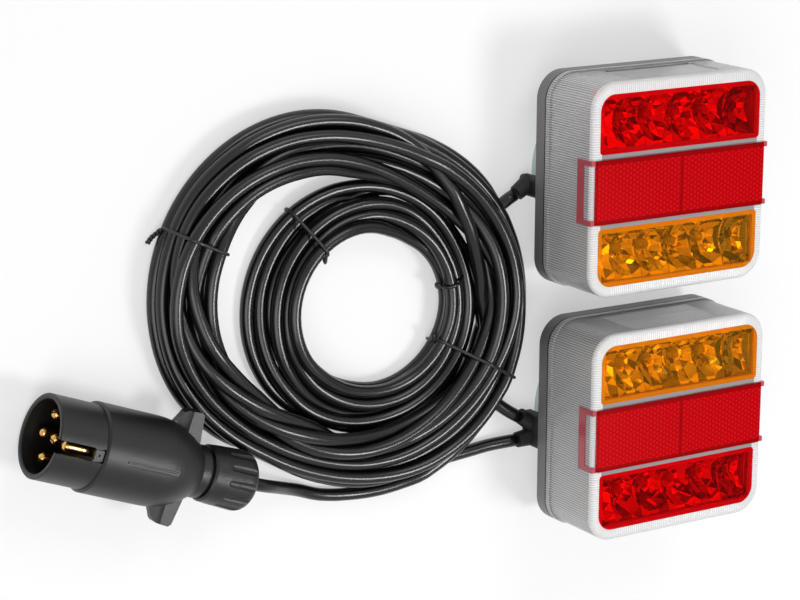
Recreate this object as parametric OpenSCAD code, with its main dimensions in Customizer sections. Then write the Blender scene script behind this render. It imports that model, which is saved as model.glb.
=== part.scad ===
// Magnetic towing light set: two square rear lamps on round pot magnets, joined by one
// cable, and a long cable to a seven-pin plug. Millimetres, Z up. The origin is on the
// floor, midway between the lamps, which lie face up on their magnets.

/* [Lamp body] */
// Width of the clear lens above its lip, along X
lens_w = 103; // [98:0.5:112]
// Height of the clear lens above its lip, along Y
lens_h = 102; // [98:0.5:112]
// Depth of the clear lens from its open back to its face
lens_depth = 36.2; // [34:0.2:44]
// Outer corner radius of the lens, seen from the front
lens_corner_r = 13; // [10:0.5:15]
// Wall thickness of the lens sides
lens_wall = 2; // [1.6:0.1:2.4]
// Thickness of the lens face
face_t = 2.5; // [2:0.1:3]
// Radius round the front edge of the lens
edge_r = 2.4; // [1.5:0.1:3]
// How far the back lip stands out from the lens sides
lip_proud = 0.7; // [0.4:0.1:1.5]
// Height of the back lip
lip_h = 3; // [2:0.5:5]
// Depth of the base tray
base_h = 6.7; // [5.5:0.1:9]
// Thickness of the base floor and walls
base_t = 2.2; // [1.8:0.1:2.8]
// Thickness of the rubber seal between base and lens
seal_t = 0.8; // [0.5:0.1:1.2]
// Width of the rubber seal
seal_w = 2.6; // [2:0.1:3]

/* [Lamp face] */
// Width of the clear rim at the left and right of the coloured windows
rim_side = 4.5; // [4:0.1:6]
// Width of the clear rim at the far ends of the coloured windows
rim_end = 5.5; // [4.5:0.1:7]
// Distance from the lamp's middle line to a window's nearer edge
window_y = 17.5; // [17:0.1:18]
// Radius of a window's two outer corners
window_outer_r = 8; // [4:0.5:9]
// Radius of a window's two inner corners
window_inner_r = 2; // [1:0.5:3]
// Width of the raised border round a window
border_w = 2.2; // [1.5:0.1:3]
// Depth of a window's sunk middle
pane_sunk = 0.5; // [0.3:0.1:0.8]
// How far the ends of the reflex reflector's plate stay inside the lens sides
reflex_in = 1.8; // [1.7:0.1:3]
// Height of the reflex reflector
reflex_h = 30.5; // [28:0.5:32]
// How far the reflex reflector stands off the face
reflex_t = 1.5; // [1:0.1:2]
// Width of the reflector's legs that turn down the lens sides
leg_w = 2.4; // [2:0.1:3]
// How far the legs stand off the lens sides
leg_t = 0.5; // [0.4:0.05:0.65]
// How far the legs reach down the lens sides from the face
leg_drop = 10.6; // [9:0.2:14]
// Depth of the bar that joins the legs
leg_bar_h = 5; // [4:0.2:6]

/* [Inside the lamp] */
// Distance between the centres of neighbouring bowls
bowl_pitch = 16.3; // [15.5:0.1:17]
// Distance from the middle line to a row of bowls
bowl_y = 31.5; // [31:0.25:32]
// Radius of a bowl at its mouth
bowl_r = 13; // [11.5:0.25:13.25]
// Depth of a bowl
bowl_depth = 13.2; // [12:0.2:14]
// Wall thickness of the bowls and their plate
bowl_wall = 1.2; // [0.8:0.1:1.4]
// Gap between the lens face and the reflector plate
tray_gap = 4.5; // [3:0.5:6]
// Diameter of a light-emitting diode
led_d = 5; // [4.6:0.1:5.2]
// Height of a light-emitting diode
led_h = 8.6; // [7.5:0.2:9]
// Thickness of the circuit board
board_t = 1.6; // [1:0.1:2]
// Gap between the circuit board and the bottom of the bowls
board_gap = 2.9; // [2:0.1:4]
// Radius of the screw bosses in the lens
boss_r = 3.5; // [3:0.1:3.6]
// Diameter of the lens screws
screw_d = 2.8; // [2.2:0.1:3.2]
// Length of the lens screws under the head
screw_len = 16; // [12:1:22]
// Width of the number-plate light window
plate_w = 52; // [40:1:60]
// Height of the number-plate light window
plate_h = 24; // [18:1:26]
// Size of a number-plate light chip
chip_w = 3.4; // [2.5:0.1:4]
// Distance between the number-plate light chips
chip_pitch = 10; // [8:0.5:10.5]

/* [Magnet] */
// Outer diameter of the steel magnet cup
magnet_d = 88; // [80:1:89]
// Height of the magnet cup, which holds the lamp off the floor
magnet_h = 15; // [13.5:0.5:20]
// Wall thickness of the magnet cup
cup_t = 3; // [2:0.25:3.5]
// Hole through the ferrite ring
ring_hole_d = 24; // [18:1:34]
// How far the ferrite ring sits back from the cup's rim
ring_back = 0.5; // [0.2:0.1:1]
// Diameter of the screw that holds the magnet
stud_d = 6; // [5:0.5:8]

/* [Plug] */
// Outer diameter of the plug body
plug_d = 40.6; // [40:0.2:44]
// Outer diameter of the shroud round the pins
shroud_d = 38; // [37.4:0.1:38.4]
// Wall thickness of the shroud
shroud_t = 2.5; // [1.8:0.1:2.8]
// Length of the shroud
shroud_len = 23; // [21:0.5:28]
// Length of the straight part of the body
body_len = 31.6; // [26:0.2:38]
// Length of the body's taper
taper_len = 22.4; // [18:0.2:28]
// Diameter of the neck ring
neck_d = 24.2; // [22.6:0.2:27]
// Length of the neck ring
neck_len = 4; // [3:0.5:6]
// Wall thickness of the body shells
shell_t = 2.2; // [1.8:0.1:2.6]
// Outer diameter of the gland nut
nut_d = 28; // [26:0.5:31]
// Length of the gland nut
nut_len = 24; // [21:0.5:28]
// Diameter of a contact pin
pin_d = 5; // [4.6:0.1:5.2]
// Radius of the ring of contact pins
pin_ring_r = 11.5; // [10.6:0.1:12.5]
// How far the pins' tips lie behind the mouth of the shroud
pin_back = 5.4; // [4:0.2:8]
// Length of a pin that stands out of its carrier
pin_len = 15.1; // [12:0.2:16]
// Width of the keyway in the shroud
keyway_w = 6.2; // [5.4:0.1:7]
// Reach of the pull ears from the plug's axis
ear_reach = 26.4; // [24:0.2:30]
// Thickness of the pull ears
ear_t = 9; // [6:0.5:11]
// Direction in which the plug's nut points, seen from above
plug_turn = -20.56; // [-24:0.01:-18]

/* [Cables] */
// Diameter of the cable
cable_d = 6.2; // [5.6:0.1:6.4]
// Thickness of the wire ties
tie_d = 1.6; // [1.2:0.1:1.6]
// Radius of the main coil's left end
coil_left_r = 81; // [80:0.5:82]
// Radius of the main coil's right end
coil_right_r = 85; // [84:0.5:86]
// Distance between the middles of the main coil's two ends
coil_straight = 38; // [37:0.5:39]
// Width of the main coil at its left end
coil_left_band = 25.8; // [25:0.2:27]
// Width of the main coil's lower half at its right end
coil_right_band = 23; // [22.4:0.2:23.4]
// Radius of the hole in the main coil's lower half
lower_hole_r = 60.5; // [60:0.25:62]
// Width of the main coil's upper half at its right end, where it spreads over the small coil
upper_right_band = 51; // [50:0.5:52]
// Radius of the hole in the main coil's upper half
upper_hole_r = 52; // [51:0.5:53]
// Radius of the small coil's round ends
small_end_r = 59; // [58:0.5:59.5]
// Length of the small coil's straight stretch
small_straight = 14; // [13:0.5:15]

/* [Layout] */
// Distance between the lamps' centres along Y
lamp_pitch = 120; // [118:0.5:122]
// Offset of each lamp's centre from the origin along X
lamp_shift = 2; // [1:0.5:3]
// Middle of the main coil
coil_at = [-156, 12.6];
// Direction of the coils' long axis
coil_turn = -25; // [-27:0.5:-23]

/* [Hidden] */

fine = 96;
small = 32;
// Fits: moulded joins, pieces that slot together, and screws in their holes
snug = 0.05;
slip = 0.2;
through = 1;

window_w = lens_w - 2 * rim_side;
window_h = lens_h / 2 - rim_end - window_y;
reflex_w = lens_w - 2 * reflex_in;

// Levels above the floor
base_z = magnet_h;
base_top = base_z + base_h;
lens_back = base_top + seal_t;
lens_top = lens_back + lens_depth;
face_back = lens_top - face_t;
floor_top = base_z + base_t;
tray_top = face_back - tray_gap;
bowl_bottom = tray_top - bowl_depth;
board_top = bowl_bottom - board_gap;
board_bottom = board_top - board_t;

// Outlines
base_w = lens_w + 2 * lip_proud;
base_l = lens_h + 2 * lip_proud;
base_corner_r = lens_corner_r + lip_proud;
inner_w = lens_w - 2 * lens_wall;
inner_h = lens_h - 2 * lens_wall;
inner_corner_r = lens_corner_r - lens_wall;
// The plate laps the wall's profile so that the two join
plate_lap = edge_r + 1.6;
plate_in = edge_r + 0.6;
// A boss leans on the inner corner, a little into the wall
boss_in = (inner_corner_r - boss_r + 0.4) * cos(45);
boss_x = inner_w / 2 - inner_corner_r + boss_in;
boss_y = inner_h / 2 - inner_corner_r + boss_in;
boss_clear = boss_r + 0.7;
base_boss_r = boss_r + 0.6;
head_r = screw_d + 0.4;
head_h = 1.9;
sink_h = head_h + 0.5;

// Plate-light board stands behind the lens wall
plate_board_t = 1;
chip_t = 0.9;
plate_face_y = inner_h / 2 - chip_t - 0.9;
plate_back_y = plate_face_y - plate_board_t;
plate_board_h = 10.5;
plate_board_w = 50;
plate_x = 2;
chip_x = -18;
chip_z = board_top + 6.5;
plate_recess = 0.3;
plate_window_z = lens_back + 18;
tray_half_h = plate_back_y - 0.4;
tray_half_w = inner_w / 2 - 0.6;
tray_corner_r = 6;
board_half_w = inner_w / 2 - 1.4;
board_half_h = inner_h / 2 - 1.4;
post_x = 38;
post_r = 3;
tray_leg_x = 30;
tray_leg_y = 6;
tray_leg_r = 2.5;

// Cable boots, at the lamps' side towards the coils
boot_w = 6.2;
boot_x = magnet_d / 2 + boot_w / 2 + 1.5;
boot_bottom = 1;
boot_left_y = -5.2;
boot_right_y = -7;
boot_neck_r = 2.3;
boot_neck_x = boot_x - 1.4;
outlet_z = 5.5;
outlet_len = 6.4;
outlet_big_r = cable_d / 2 + 1.4;
outlet_small_r = cable_d / 2 + 0.7;

// Magnet
cup_r = magnet_d / 2;
ring_r = cup_r - cup_t - slip;
stud_r = stud_d / 2;
stud_head_r = stud_d;
nut_h = stud_d * 0.83;
nut_flat_r = stud_d * 0.96;

// Plug stations along its axis, measured from the shroud's mouth
body_r = plug_d / 2;
shroud_r = shroud_d / 2;
shroud_bore = shroud_r - shroud_t;
body_end = shroud_len + body_len;
neck_start = body_end + taper_len;
neck_end = neck_start + neck_len;
neck_r = neck_d / 2;
nose_r = neck_r - 1.6;
nose_bore = nose_r - 2.9;
nut_start = neck_end + 2;
plug_len = nut_start + nut_len;
nose_end = plug_len - 9;
nut_wall_start = plug_len - 6;
nut_r = nut_d / 2;
shell_bore = body_r - shell_t;
carrier_start = pin_back + pin_len;
carrier_end = shroud_len + 8;
spigot_r = min(shroud_r, shell_bore) - slip;
plug_end = [-215, -62.5];
plug_z = body_r;
pin_r = pin_d / 2;
pin_tail = carrier_end + 3;
ear_start = neck_start - 18;
clamp_at = neck_start - 13;

// Coils
cable_r = cable_d / 2;
end_x = coil_straight / 2;
hole_left = -end_x - coil_left_r + coil_left_band;
lower_right = end_x + coil_right_r - coil_right_band;
upper_right = end_x + coil_right_r - upper_right_band;
layer_h = 2 * cable_d;
small_half = small_straight / 2 + small_end_r;
small_shift = lower_right - small_half - 0.3;
small_hole_r = small_end_r - 4 * cable_d;
lower_top = tie_d + layer_h;
coil_top = lower_top + layer_h;
shoulder_in = cable_r / 2;
crown_in = cable_r * 1.5;
tunnel_w = cable_d + 1;
tunnel_h = tie_d + cable_d + 0.6;

// The routes of the free cable, point by point
plug_route = [
    [-214.9, -62.5, 20.3], [-210, -64.4, 20.1], [-203, -67.1, 17.8], [-195, -70.3, 13],
    [-187, -73.6, 8], [-178, -77, 4.3], [-167, -81.2, 3.1], [-154, -83.6, 3.1],
    [-142, -84.3, 3.1], [-130, -83.4, 3.1]
];
lamp_route = [
    [-100, -74.9, 3.1], [-92, -74.2, 3.1], [-82, -73.3, 3.1], [-72, -72.3, 3.2],
    [-63, -71.7, 4.3], [-57, -71.3, 5.5]
];
link_left_route = [
    [-59.6, 51.2, 5.5], [-64, 48.3, 4.4], [-68.8, 44, 3.4], [-72.6, 36.6, 3.1],
    [-74.4, 29, 3.1], [-76.4, 21.5, 3.1]
];
link_right_route = [
    [-75.3, -9.5, 3.1], [-75, -15.5, 3.1], [-74.5, -23, 4], [-74, -33, 5], [-72.4, -42.6, 4.6],
    [-68.4, -50.1, 3.5], [-62.4, -55.2, 4.2], [-55.6, -59.7, 5.5]
];

// Shared shapes

// Rectangle with true round corners
module rounded(w, h, r) {
    square([w - 2 * r, h], center = true);
    square([w, h - 2 * r], center = true);
    for (x = [-1, 1], y = [-1, 1])
        translate([x * (w / 2 - r), y * (h / 2 - r)])
            circle(r = r, $fn = 64);
}

module slab(w, h, r, z0, z1) {
    translate([0, 0, z0])
        linear_extrude(z1 - z0)
            rounded(w, h, r);
}

// Sweeps a wall profile round a rectangle with round corners. The profile's X is
// measured outwards from the rectangle's edge, and its Y is the height.
module rim(w, h, r) {
    for (turn = [0, 90, 180, 270])
        rotate(turn) {
            across = turn % 180 == 0 ? w : h;
            along = turn % 180 == 0 ? h : w;
            translate([across / 2, along / 2 - r, 0])
                rotate([90, 0, 0])
                    linear_extrude(along - 2 * r)
                        children();
            translate([across / 2 - r, along / 2 - r, 0])
                rotate_extrude(angle = 90, $fn = 64)
                    translate([r, 0])
                        children();
        }
}

module at_bosses() {
    for (x = [-1, 1], y = [-1, 1])
        translate([x * boss_x, y * boss_y, 0])
            children();
}

module at_bowls(row) {
    for (i = [-1.5:1:1.5])
        translate([i * bowl_pitch, row * bowl_y, 0])
            children();
}

module at_left() {
    translate([-lamp_shift, lamp_pitch / 2, 0])
        children();
}

module at_right() {
    translate([lamp_shift, -lamp_pitch / 2, 0])
        rotate(180)
            children();
}

// A boot is set square to the floor plan, also under the turned lamp
module at_right_boot() {
    translate([lamp_shift, -lamp_pitch / 2, 0])
        children();
}

// Lamp pieces

module window_outline(inset) {
    outer_r = window_outer_r - inset;
    inner_r = max(window_inner_r - inset, 0.4);
    w = window_w - 2 * inset;
    h = window_h - 2 * inset;
    // The first shape gives the outer corners, the second the inner ones
    intersection() {
        translate([0, window_y + inset + h / 2 - window_h / 2])
            rounded(w, h + window_h, outer_r);
        translate([0, window_y + inset + h / 2 + window_h / 2])
            rounded(w, h + window_h, inner_r);
    }
}

module lens_profile() {
    difference() {
        union() {
            translate([-lens_wall, lens_back])
                square([lens_wall, lens_depth]);
            translate([-plate_lap, face_back])
                square([plate_lap, face_t]);
            translate([-lens_wall, lens_back])
                square([lens_wall + lip_proud, lip_h]);
        }
        translate([-edge_r, lens_top - edge_r])
            difference() {
                square(edge_r + through);
                circle(r = edge_r, $fn = small);
            }
    }
}

module reflex_legs(side) {
    leg_out = lens_w / 2 + leg_t;
    leg_start = reflex_w / 2 - 2;
    difference() {
        for (y = [-1, 1])
            translate([leg_start, y * (reflex_h - leg_w) / 2 - leg_w / 2, lens_top - leg_drop])
                cube([leg_out - leg_start, leg_w, leg_drop + leg_t]);
        lens_solid_side();
    }
    difference() {
        translate([lens_w / 2 - through, -reflex_h / 2, lens_top - leg_drop])
            cube([leg_t + through, reflex_h, leg_bar_h]);
        lens_solid_side();
    }
}

// The lens's outer form along its straight side, as a solid
module lens_solid_side() {
    translate([0, reflex_h, 0])
        rotate([90, 0, 0])
            linear_extrude(2 * reflex_h)
                union() {
                    translate([0, lens_back])
                        square([lens_w / 2, lens_depth - edge_r]);
                    translate([0, lens_back])
                        square([lens_w / 2 - edge_r, lens_depth]);
                    translate([lens_w / 2 - edge_r, lens_top - edge_r])
                        circle(r = edge_r, $fn = small);
                }
}

module lens(plate_light) {
    color([0.86, 0.87, 0.88, 0.5])
        difference() {
            union() {
                rim(lens_w, lens_h, lens_corner_r)
                    lens_profile();
                slab(lens_w - 2 * plate_in, lens_h - 2 * plate_in, lens_corner_r - plate_in,
                    face_back, lens_top);
                at_bosses()
                    translate([0, 0, lens_back])
                        cylinder(h = face_back - lens_back + face_t / 2, r = boss_r, $fn = small);
            }
            for (turn = [0, 180])
                rotate(turn)
                    translate([0, 0, face_back - through])
                        linear_extrude(face_t + 2 * through)
                            window_outline(0);
            at_bosses()
                translate([0, 0, lens_back - through])
                    cylinder(h = screw_len + 2 * through, r = screw_d / 2 + snug, $fn = small);
            if (plate_light)
                translate([plate_x, lens_h / 2 + plate_recess, plate_window_z])
                    rotate([90, 0, 0])
                        linear_extrude(2 * plate_recess)
                            rounded(plate_w, plate_h, 3);
        }
}

module window_pane(tint, turn) {
    color(tint)
        rotate(turn)
            difference() {
                translate([0, 0, face_back])
                    linear_extrude(face_t)
                        window_outline(snug);
                translate([0, 0, lens_top - pane_sunk])
                    linear_extrude(pane_sunk + through)
                        window_outline(border_w);
            }
}

module reflex_reflector() {
    color("firebrick") {
        slab(reflex_w, reflex_h, 1.2, lens_top, lens_top + reflex_t - 0.4);
        slab(reflex_w - 0.8, reflex_h - 0.8, 1, lens_top, lens_top + reflex_t);
        for (turn = [0, 180])
            rotate(turn)
                reflex_legs();
    }
}

module tray_outline() {
    difference() {
        rounded(2 * tray_half_w, 2 * tray_half_h, tray_corner_r);
        at_bosses()
            circle(r = boss_clear, $fn = small);
    }
}

module reflector_tray() {
    led_hole_r = led_d / 2 + 0.7;
    color("silver")
        difference() {
            union() {
                translate([0, 0, tray_top - bowl_wall])
                    linear_extrude(bowl_wall)
                        tray_outline();
                for (row = [-1, 1])
                    at_bowls(row)
                        translate([0, 0, bowl_bottom])
                            cylinder(h = bowl_depth, r1 = led_hole_r + bowl_wall, r2 = bowl_r, $fn = fine);
                for (x = [-1, 1], y = [-1, 1])
                    translate([x * tray_leg_x, y * tray_leg_y, board_top])
                        cylinder(h = tray_top - board_top - bowl_wall / 2, r = tray_leg_r, $fn = small);
            }
            for (row = [-1, 1])
                at_bowls(row)
                    translate([0, 0, bowl_bottom - through]) {
                        cylinder(h = bowl_depth, r = led_hole_r, $fn = small);
                        translate([0, 0, through])
                            cylinder(h = bowl_depth + 0.01, r1 = led_hole_r, r2 = bowl_r - bowl_wall, $fn = fine);
                    }
        }
}

module circuit_board() {
    color("darkgreen")
        translate([0, 0, board_bottom])
            linear_extrude(board_t)
                difference() {
                    rounded(2 * board_half_w, 2 * board_half_h, tray_corner_r);
                    at_bosses()
                        circle(r = boss_clear, $fn = small);
                }
}

module leds(tint, row) {
    flange_r = led_d / 2 + 0.4;
    color(tint)
        at_bowls(row)
            translate([0, 0, board_top]) {
                cylinder(h = 1, r = flange_r, $fn = small);
                cylinder(h = led_h - led_d / 2, r = led_d / 2, $fn = small);
                translate([0, 0, led_h - led_d / 2])
                    sphere(r = led_d / 2, $fn = small);
            }
}

module base(neck) {
    color("dimgray")
        difference() {
            union() {
                difference() {
                    slab(base_w, base_l, base_corner_r, base_z, base_top);
                    slab(base_w - 2 * base_t, base_l - 2 * base_t, base_corner_r - base_t,
                        floor_top, base_top + through);
                }
                at_bosses()
                    translate([0, 0, floor_top - through])
                        cylinder(h = lens_back - floor_top + through, r = base_boss_r, $fn = small);
                for (x = [-1, 1])
                    translate([x * post_x, 0, floor_top - through])
                        cylinder(h = board_bottom - floor_top + through, r = post_r, $fn = small);
            }
            at_bosses()
                translate([0, 0, base_z - through]) {
                    cylinder(h = lens_back, r = screw_d / 2 + slip, $fn = small);
                    cylinder(h = sink_h + through, r = head_r + slip / 2, $fn = small);
                }
            translate([0, 0, base_z - through])
                cylinder(h = base_t + 2 * through, r = stud_r + slip, $fn = small);
            translate([neck[0], neck[1], base_z - through])
                cylinder(h = base_t + 2 * through, r = boot_neck_r + snug, $fn = small);
        }
}

module seal() {
    color([0.12, 0.12, 0.12])
        difference() {
            slab(base_w, base_l, base_corner_r, base_top, lens_back);
            slab(base_w - 2 * seal_w, base_l - 2 * seal_w, base_corner_r - seal_w,
                base_top - through, lens_back + through);
            at_bosses()
                translate([0, 0, base_top - through])
                    cylinder(h = seal_t + 2 * through, r = base_boss_r + snug, $fn = small);
        }
}

module lens_screws() {
    color("lightgray")
        at_bosses()
            translate([0, 0, base_z + sink_h - head_h])
                difference() {
                    union() {
                        cylinder(h = head_h, r = head_r, $fn = small);
                        cylinder(h = head_h + screw_len, r = screw_d / 2, $fn = small);
                    }
                    for (turn = [0, 90])
                        rotate(turn)
                            translate([-head_r / 2, -0.3, -through])
                                cube([head_r, 0.6, through + 1]);
                }
}

// Outlets are pairs of a place along Y and a direction in the floor plan
module cable_boot(y_mid, y_len, outlets) {
    color([0.1, 0.1, 0.1]) {
        translate([-boot_x, y_mid, 0])
            slab(boot_w, y_len, 2, boot_bottom, base_z);
        translate([-boot_neck_x, y_mid, base_z - through])
            cylinder(h = base_t + through, r = boot_neck_r, $fn = small);
        for (outlet = outlets)
            translate([-boot_x, outlet[0], outlet_z])
                rotate([0, 90, outlet[1]])
                    cylinder(h = outlet_len + boot_w / 2, r1 = outlet_big_r, r2 = outlet_small_r, $fn = small);
    }
}

module magnet_cup() {
    color([0.66, 0.7, 0.7])
        difference() {
            union() {
                cylinder(h = magnet_h - 1, r = cup_r, $fn = fine);
                cylinder(h = magnet_h, r = cup_r - 1, $fn = fine);
                translate([0, 0, magnet_h - 1])
                    rotate_extrude($fn = fine)
                        translate([cup_r - 1, 0])
                            circle(r = 1, $fn = small);
            }
            translate([0, 0, -through])
                cylinder(h = magnet_h - cup_t + through, r = cup_r - cup_t, $fn = fine);
            translate([0, 0, magnet_h - cup_t - through])
                cylinder(h = cup_t + 2 * through, r = stud_r + snug, $fn = small);
            translate([0, 0, magnet_h - stud_head_r + stud_r])
                cylinder(h = stud_head_r - stud_r, r1 = stud_head_r + snug, r2 = stud_r + snug, $fn = small);
        }
}

module magnet_ring() {
    color([0.2, 0.2, 0.22])
        difference() {
            translate([0, 0, ring_back])
                cylinder(h = magnet_h - cup_t - ring_back, r = ring_r, $fn = fine);
            cylinder(h = magnet_h, r = ring_hole_d / 2, $fn = fine);
        }
}

module magnet_screw() {
    head_z = magnet_h - stud_head_r + stud_r;
    color("gainsboro")
        difference() {
            union() {
                translate([0, 0, head_z])
                    cylinder(h = stud_head_r - stud_r, r1 = stud_head_r, r2 = stud_r, $fn = small);
                translate([0, 0, head_z])
                    cylinder(h = floor_top + nut_h + 1.5 - head_z, r = stud_r, $fn = small);
            }
            translate([0, 0, head_z - through])
                cylinder(h = through + 2, r = stud_r / 1.5, $fn = 6);
        }
}

module magnet_nut() {
    color("silver")
        translate([0, 0, floor_top])
            difference() {
                cylinder(h = nut_h, r = nut_flat_r, $fn = 6);
                translate([0, 0, -through])
                    cylinder(h = nut_h + 2 * through, r = stud_r + snug, $fn = small);
            }
}

module plate_board() {
    color([0.16, 0.17, 0.18])
        translate([plate_x - plate_board_w / 2, plate_back_y, board_top])
            cube([plate_board_w, plate_board_t, plate_board_h]);
}

module plate_leds() {
    color("lightyellow") {
        for (i = [0:3])
            translate([chip_x + i * chip_pitch, plate_face_y + chip_t / 2, chip_z])
                cube([chip_w, chip_t, chip_w * 0.8], center = true);
        translate([chip_x + 4.1 * chip_pitch, plate_face_y + chip_t / 2, chip_z - 3])
            cube([1.5 * chip_w, chip_t, chip_w], center = true);
    }
}

// Plug pieces, along X from the shroud's mouth to the end of the nut

module in_plug() {
    translate([plug_end[0], plug_end[1], plug_z])
        rotate(plug_turn)
            translate([-plug_len, 0, 0])
                children();
}

// Turns a profile of [radius, station] points round the plug's axis
module turned(points, angle = 360) {
    rotate([0, 90, 0])
        rotate_extrude(angle = angle, $fn = fine)
            polygon(points);
}

module plug_sleeve() {
    key_len = 4.2;
    key_w = keyway_w - 1.6;
    key_floor = shroud_bore + 1;
    color([0.13, 0.13, 0.14]) {
        difference() {
            turned([
                [0, carrier_start], [shroud_bore, carrier_start], [shroud_bore, 0.6],
                [shroud_bore + 0.6, 0], [shroud_r - 0.6, 0], [shroud_r, 0.6],
                [shroud_r, shroud_len], [spigot_r, shroud_len], [spigot_r, carrier_end],
                [0, carrier_end]
            ]);
            translate([-through, -keyway_w / 2, shroud_bore - 1])
                cube([carrier_start + through - 2, keyway_w, shroud_t + 3]);
            translate([carrier_start - 3, -keyway_w / 2, key_floor])
                cube([shroud_len - carrier_start + 3, keyway_w, shroud_t + 3]);
            for (i = [0:6])
                at_pin(i)
                    cylinder(h = plug_len, r = pin_r + snug, $fn = small);
        }
        // Square stop at the end of the keyway
        difference() {
            translate([shroud_len - key_len - 0.4, -key_w / 2, key_floor - 0.5])
                cube([key_len, key_w, shroud_t - 1]);
            translate([shroud_len - key_len / 2 - 0.4, 0, key_floor])
                cylinder(h = shroud_t, r = 0.5, $fn = 16);
        }
    }
}

// Pin 0 is in the middle, and pin 1 stands under the keyway
module at_pin(i) {
    reach = i == 0 ? 0 : pin_ring_r;
    rotate([60 * (i - 1), 0, 0])
        translate([0, 0, reach])
            rotate([0, 90, 0])
                children();
}

module plug_pin(i) {
    slot_w = 0.7;
    color("goldenrod")
        at_pin(i)
            difference() {
                union() {
                    translate([0, 0, pin_back + pin_r])
                        cylinder(h = pin_tail - pin_back - pin_r, r = pin_r, $fn = small);
                    translate([0, 0, pin_back + pin_r])
                        sphere(r = pin_r, $fn = small);
                }
                translate([-slot_w / 2, -pin_d, pin_back - through])
                    cube([slot_w, 2 * pin_d, pin_len / 2 + through]);
            }
}

module plug_terminal_screws() {
    color("silver")
        for (i = [0:6])
            at_pin(i)
                translate([0, 0, pin_tail])
                    difference() {
                        cylinder(h = 2, r = pin_r * 0.8, $fn = small);
                        translate([-pin_r, -0.3, 1.2])
                            cube([pin_d, 0.6, 2]);
                    }
}

function taper_r(t) = neck_r + (body_r - neck_r) * (1 - t * t);
taper_steps = 8;

module plug_shell() {
    rounded_in = 1;
    outer = concat(
        [[body_r - rounded_in, shroud_len], [body_r, shroud_len + rounded_in]],
        [for (i = [0:taper_steps]) [taper_r(i / taper_steps), body_end + taper_len * i / taper_steps]],
        [[neck_r, neck_end], [nose_r, neck_end], [nose_r, nose_end], [0, nose_end], [0, shroud_len]]
    );
    inner = concat(
        [[0, shroud_len - through], [shell_bore, shroud_len - through]],
        [for (i = [0:taper_steps - 1])
            [taper_r(i / taper_steps) - shell_t, body_end + taper_len * i / taper_steps - 0.5]],
        [[nose_bore, neck_start - 2], [nose_bore, nose_end + through], [0, nose_end + through]]
    );
    color([0.1, 0.1, 0.11])
        difference() {
            union() {
                turned(outer, 180);
                plug_ear();
            }
            turned(inner);
            // Long slot with a rib in it, half in each shell
            translate([shroud_len + 11, -through, body_r - 0.8])
                cube([27, 1.3 + through, 2]);
            translate([neck_end - 1.2, -through, neck_r - 0.5])
                cube([1.2, 0.4 + through, 1]);
        }
    color([0.1, 0.1, 0.11])
        translate([shroud_len + 11.5, 0.1, body_r - 1.4])
            cube([26, 0.5, 1.2]);
}

module plug_ear() {
    scoop_r = 9;
    difference() {
        translate([0, 0, -ear_t / 2])
            linear_extrude(ear_t)
                polygon([
                    [ear_start, 8], [ear_start, body_r - 4], [ear_start + 5.5, ear_reach - 1.6],
                    [ear_start + 7.2, ear_reach - 0.4], [ear_start + 13, ear_reach],
                    [ear_start + 14.4, ear_reach - 1.2], [ear_start + 16.4, neck_r],
                    [ear_start + 16.4, 8]
                ]);
        for (z = [-1, 1])
            translate([ear_start + 2, 0, z * (ear_t / 2 + scoop_r - 3)])
                rotate([-90, 0, 0])
                    cylinder(h = 2 * ear_reach, r = scoop_r, $fn = 48);
    }
}

module plug_cable_clamp() {
    clamp_len = 7;
    clamp_h = 13;
    seat_t = (clamp_at + clamp_len / 2 - body_end) / taper_len;
    seat_r = taper_r(seat_t) - shell_t - 0.7;
    clamp_w = 2 * sqrt(seat_r * seat_r - clamp_h * clamp_h / 4);
    color([0.2, 0.2, 0.2])
        translate([clamp_at, 0, 0])
            difference() {
                translate([-clamp_len / 2, -clamp_w / 2, -clamp_h / 2])
                    cube([clamp_len, clamp_w, clamp_h]);
                rotate([0, 90, 0])
                    cylinder(h = 2 * clamp_len, r = cable_r + slip, center = true, $fn = small);
            }
}

module gland_seal() {
    color([0.07, 0.07, 0.07])
        difference() {
            turned([[0, nose_end - 9], [nose_bore - snug, nose_end - 9],
                [nose_bore - snug, nut_wall_start - snug], [0, nut_wall_start - snug]]);
            rotate([0, 90, 0])
                cylinder(h = plug_len + through, r = cable_r + snug, $fn = small);
        }
}

module gland_nut() {
    flutes = 12;
    flute_r = 2.4;
    flute_start = nut_start + 9;
    end_r = nut_r * 0.66;
    round_steps = 6;
    round_len = 5.5;
    color([0.09, 0.09, 0.1])
        difference() {
            turned(concat(
                [[0, nut_start], [nut_r - 1.8, nut_start], [nut_r - 1, nut_start + 1],
                    [nut_r - 0.6, nut_start + 6]],
                [for (i = [0:round_steps]) let (a = 90 * i / round_steps)
                    [end_r + (nut_r - end_r) * cos(a), plug_len - round_len + round_len * sin(a)]],
                [[0, plug_len]]
            ));
            turned([[0, nut_start - through], [nose_r + slip, nut_start - through],
                [nose_r + slip, nut_wall_start], [0, nut_wall_start]]);
            rotate([0, 90, 0])
                cylinder(h = plug_len + through, r = cable_r + 0.4, $fn = small);
            for (i = [0:flutes - 1])
                rotate([360 * i / flutes, 0, 0])
                    translate([flute_start, 0, nut_r + flute_r - 1]) {
                        rotate([0, 90, 0])
                            cylinder(h = nut_len, r = flute_r, $fn = small);
                        sphere(r = flute_r, $fn = small);
                    }
        }
}

// Cables and coils

function unit(v) = v / norm(v);
function heading(p, i) = unit(p[min(i + 1, len(p) - 1)] - p[max(i - 1, 0)]);
function side_of(t) = unit(cross(t, [0, 0, 1]));
function ring_points(centre, t, r, sides) =
    let (side = side_of(t), up = cross(side, t))
    [for (k = [0:sides - 1])
        centre + r * cos(360 * k / sides) * side + r * sin(360 * k / sides) * up];

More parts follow.
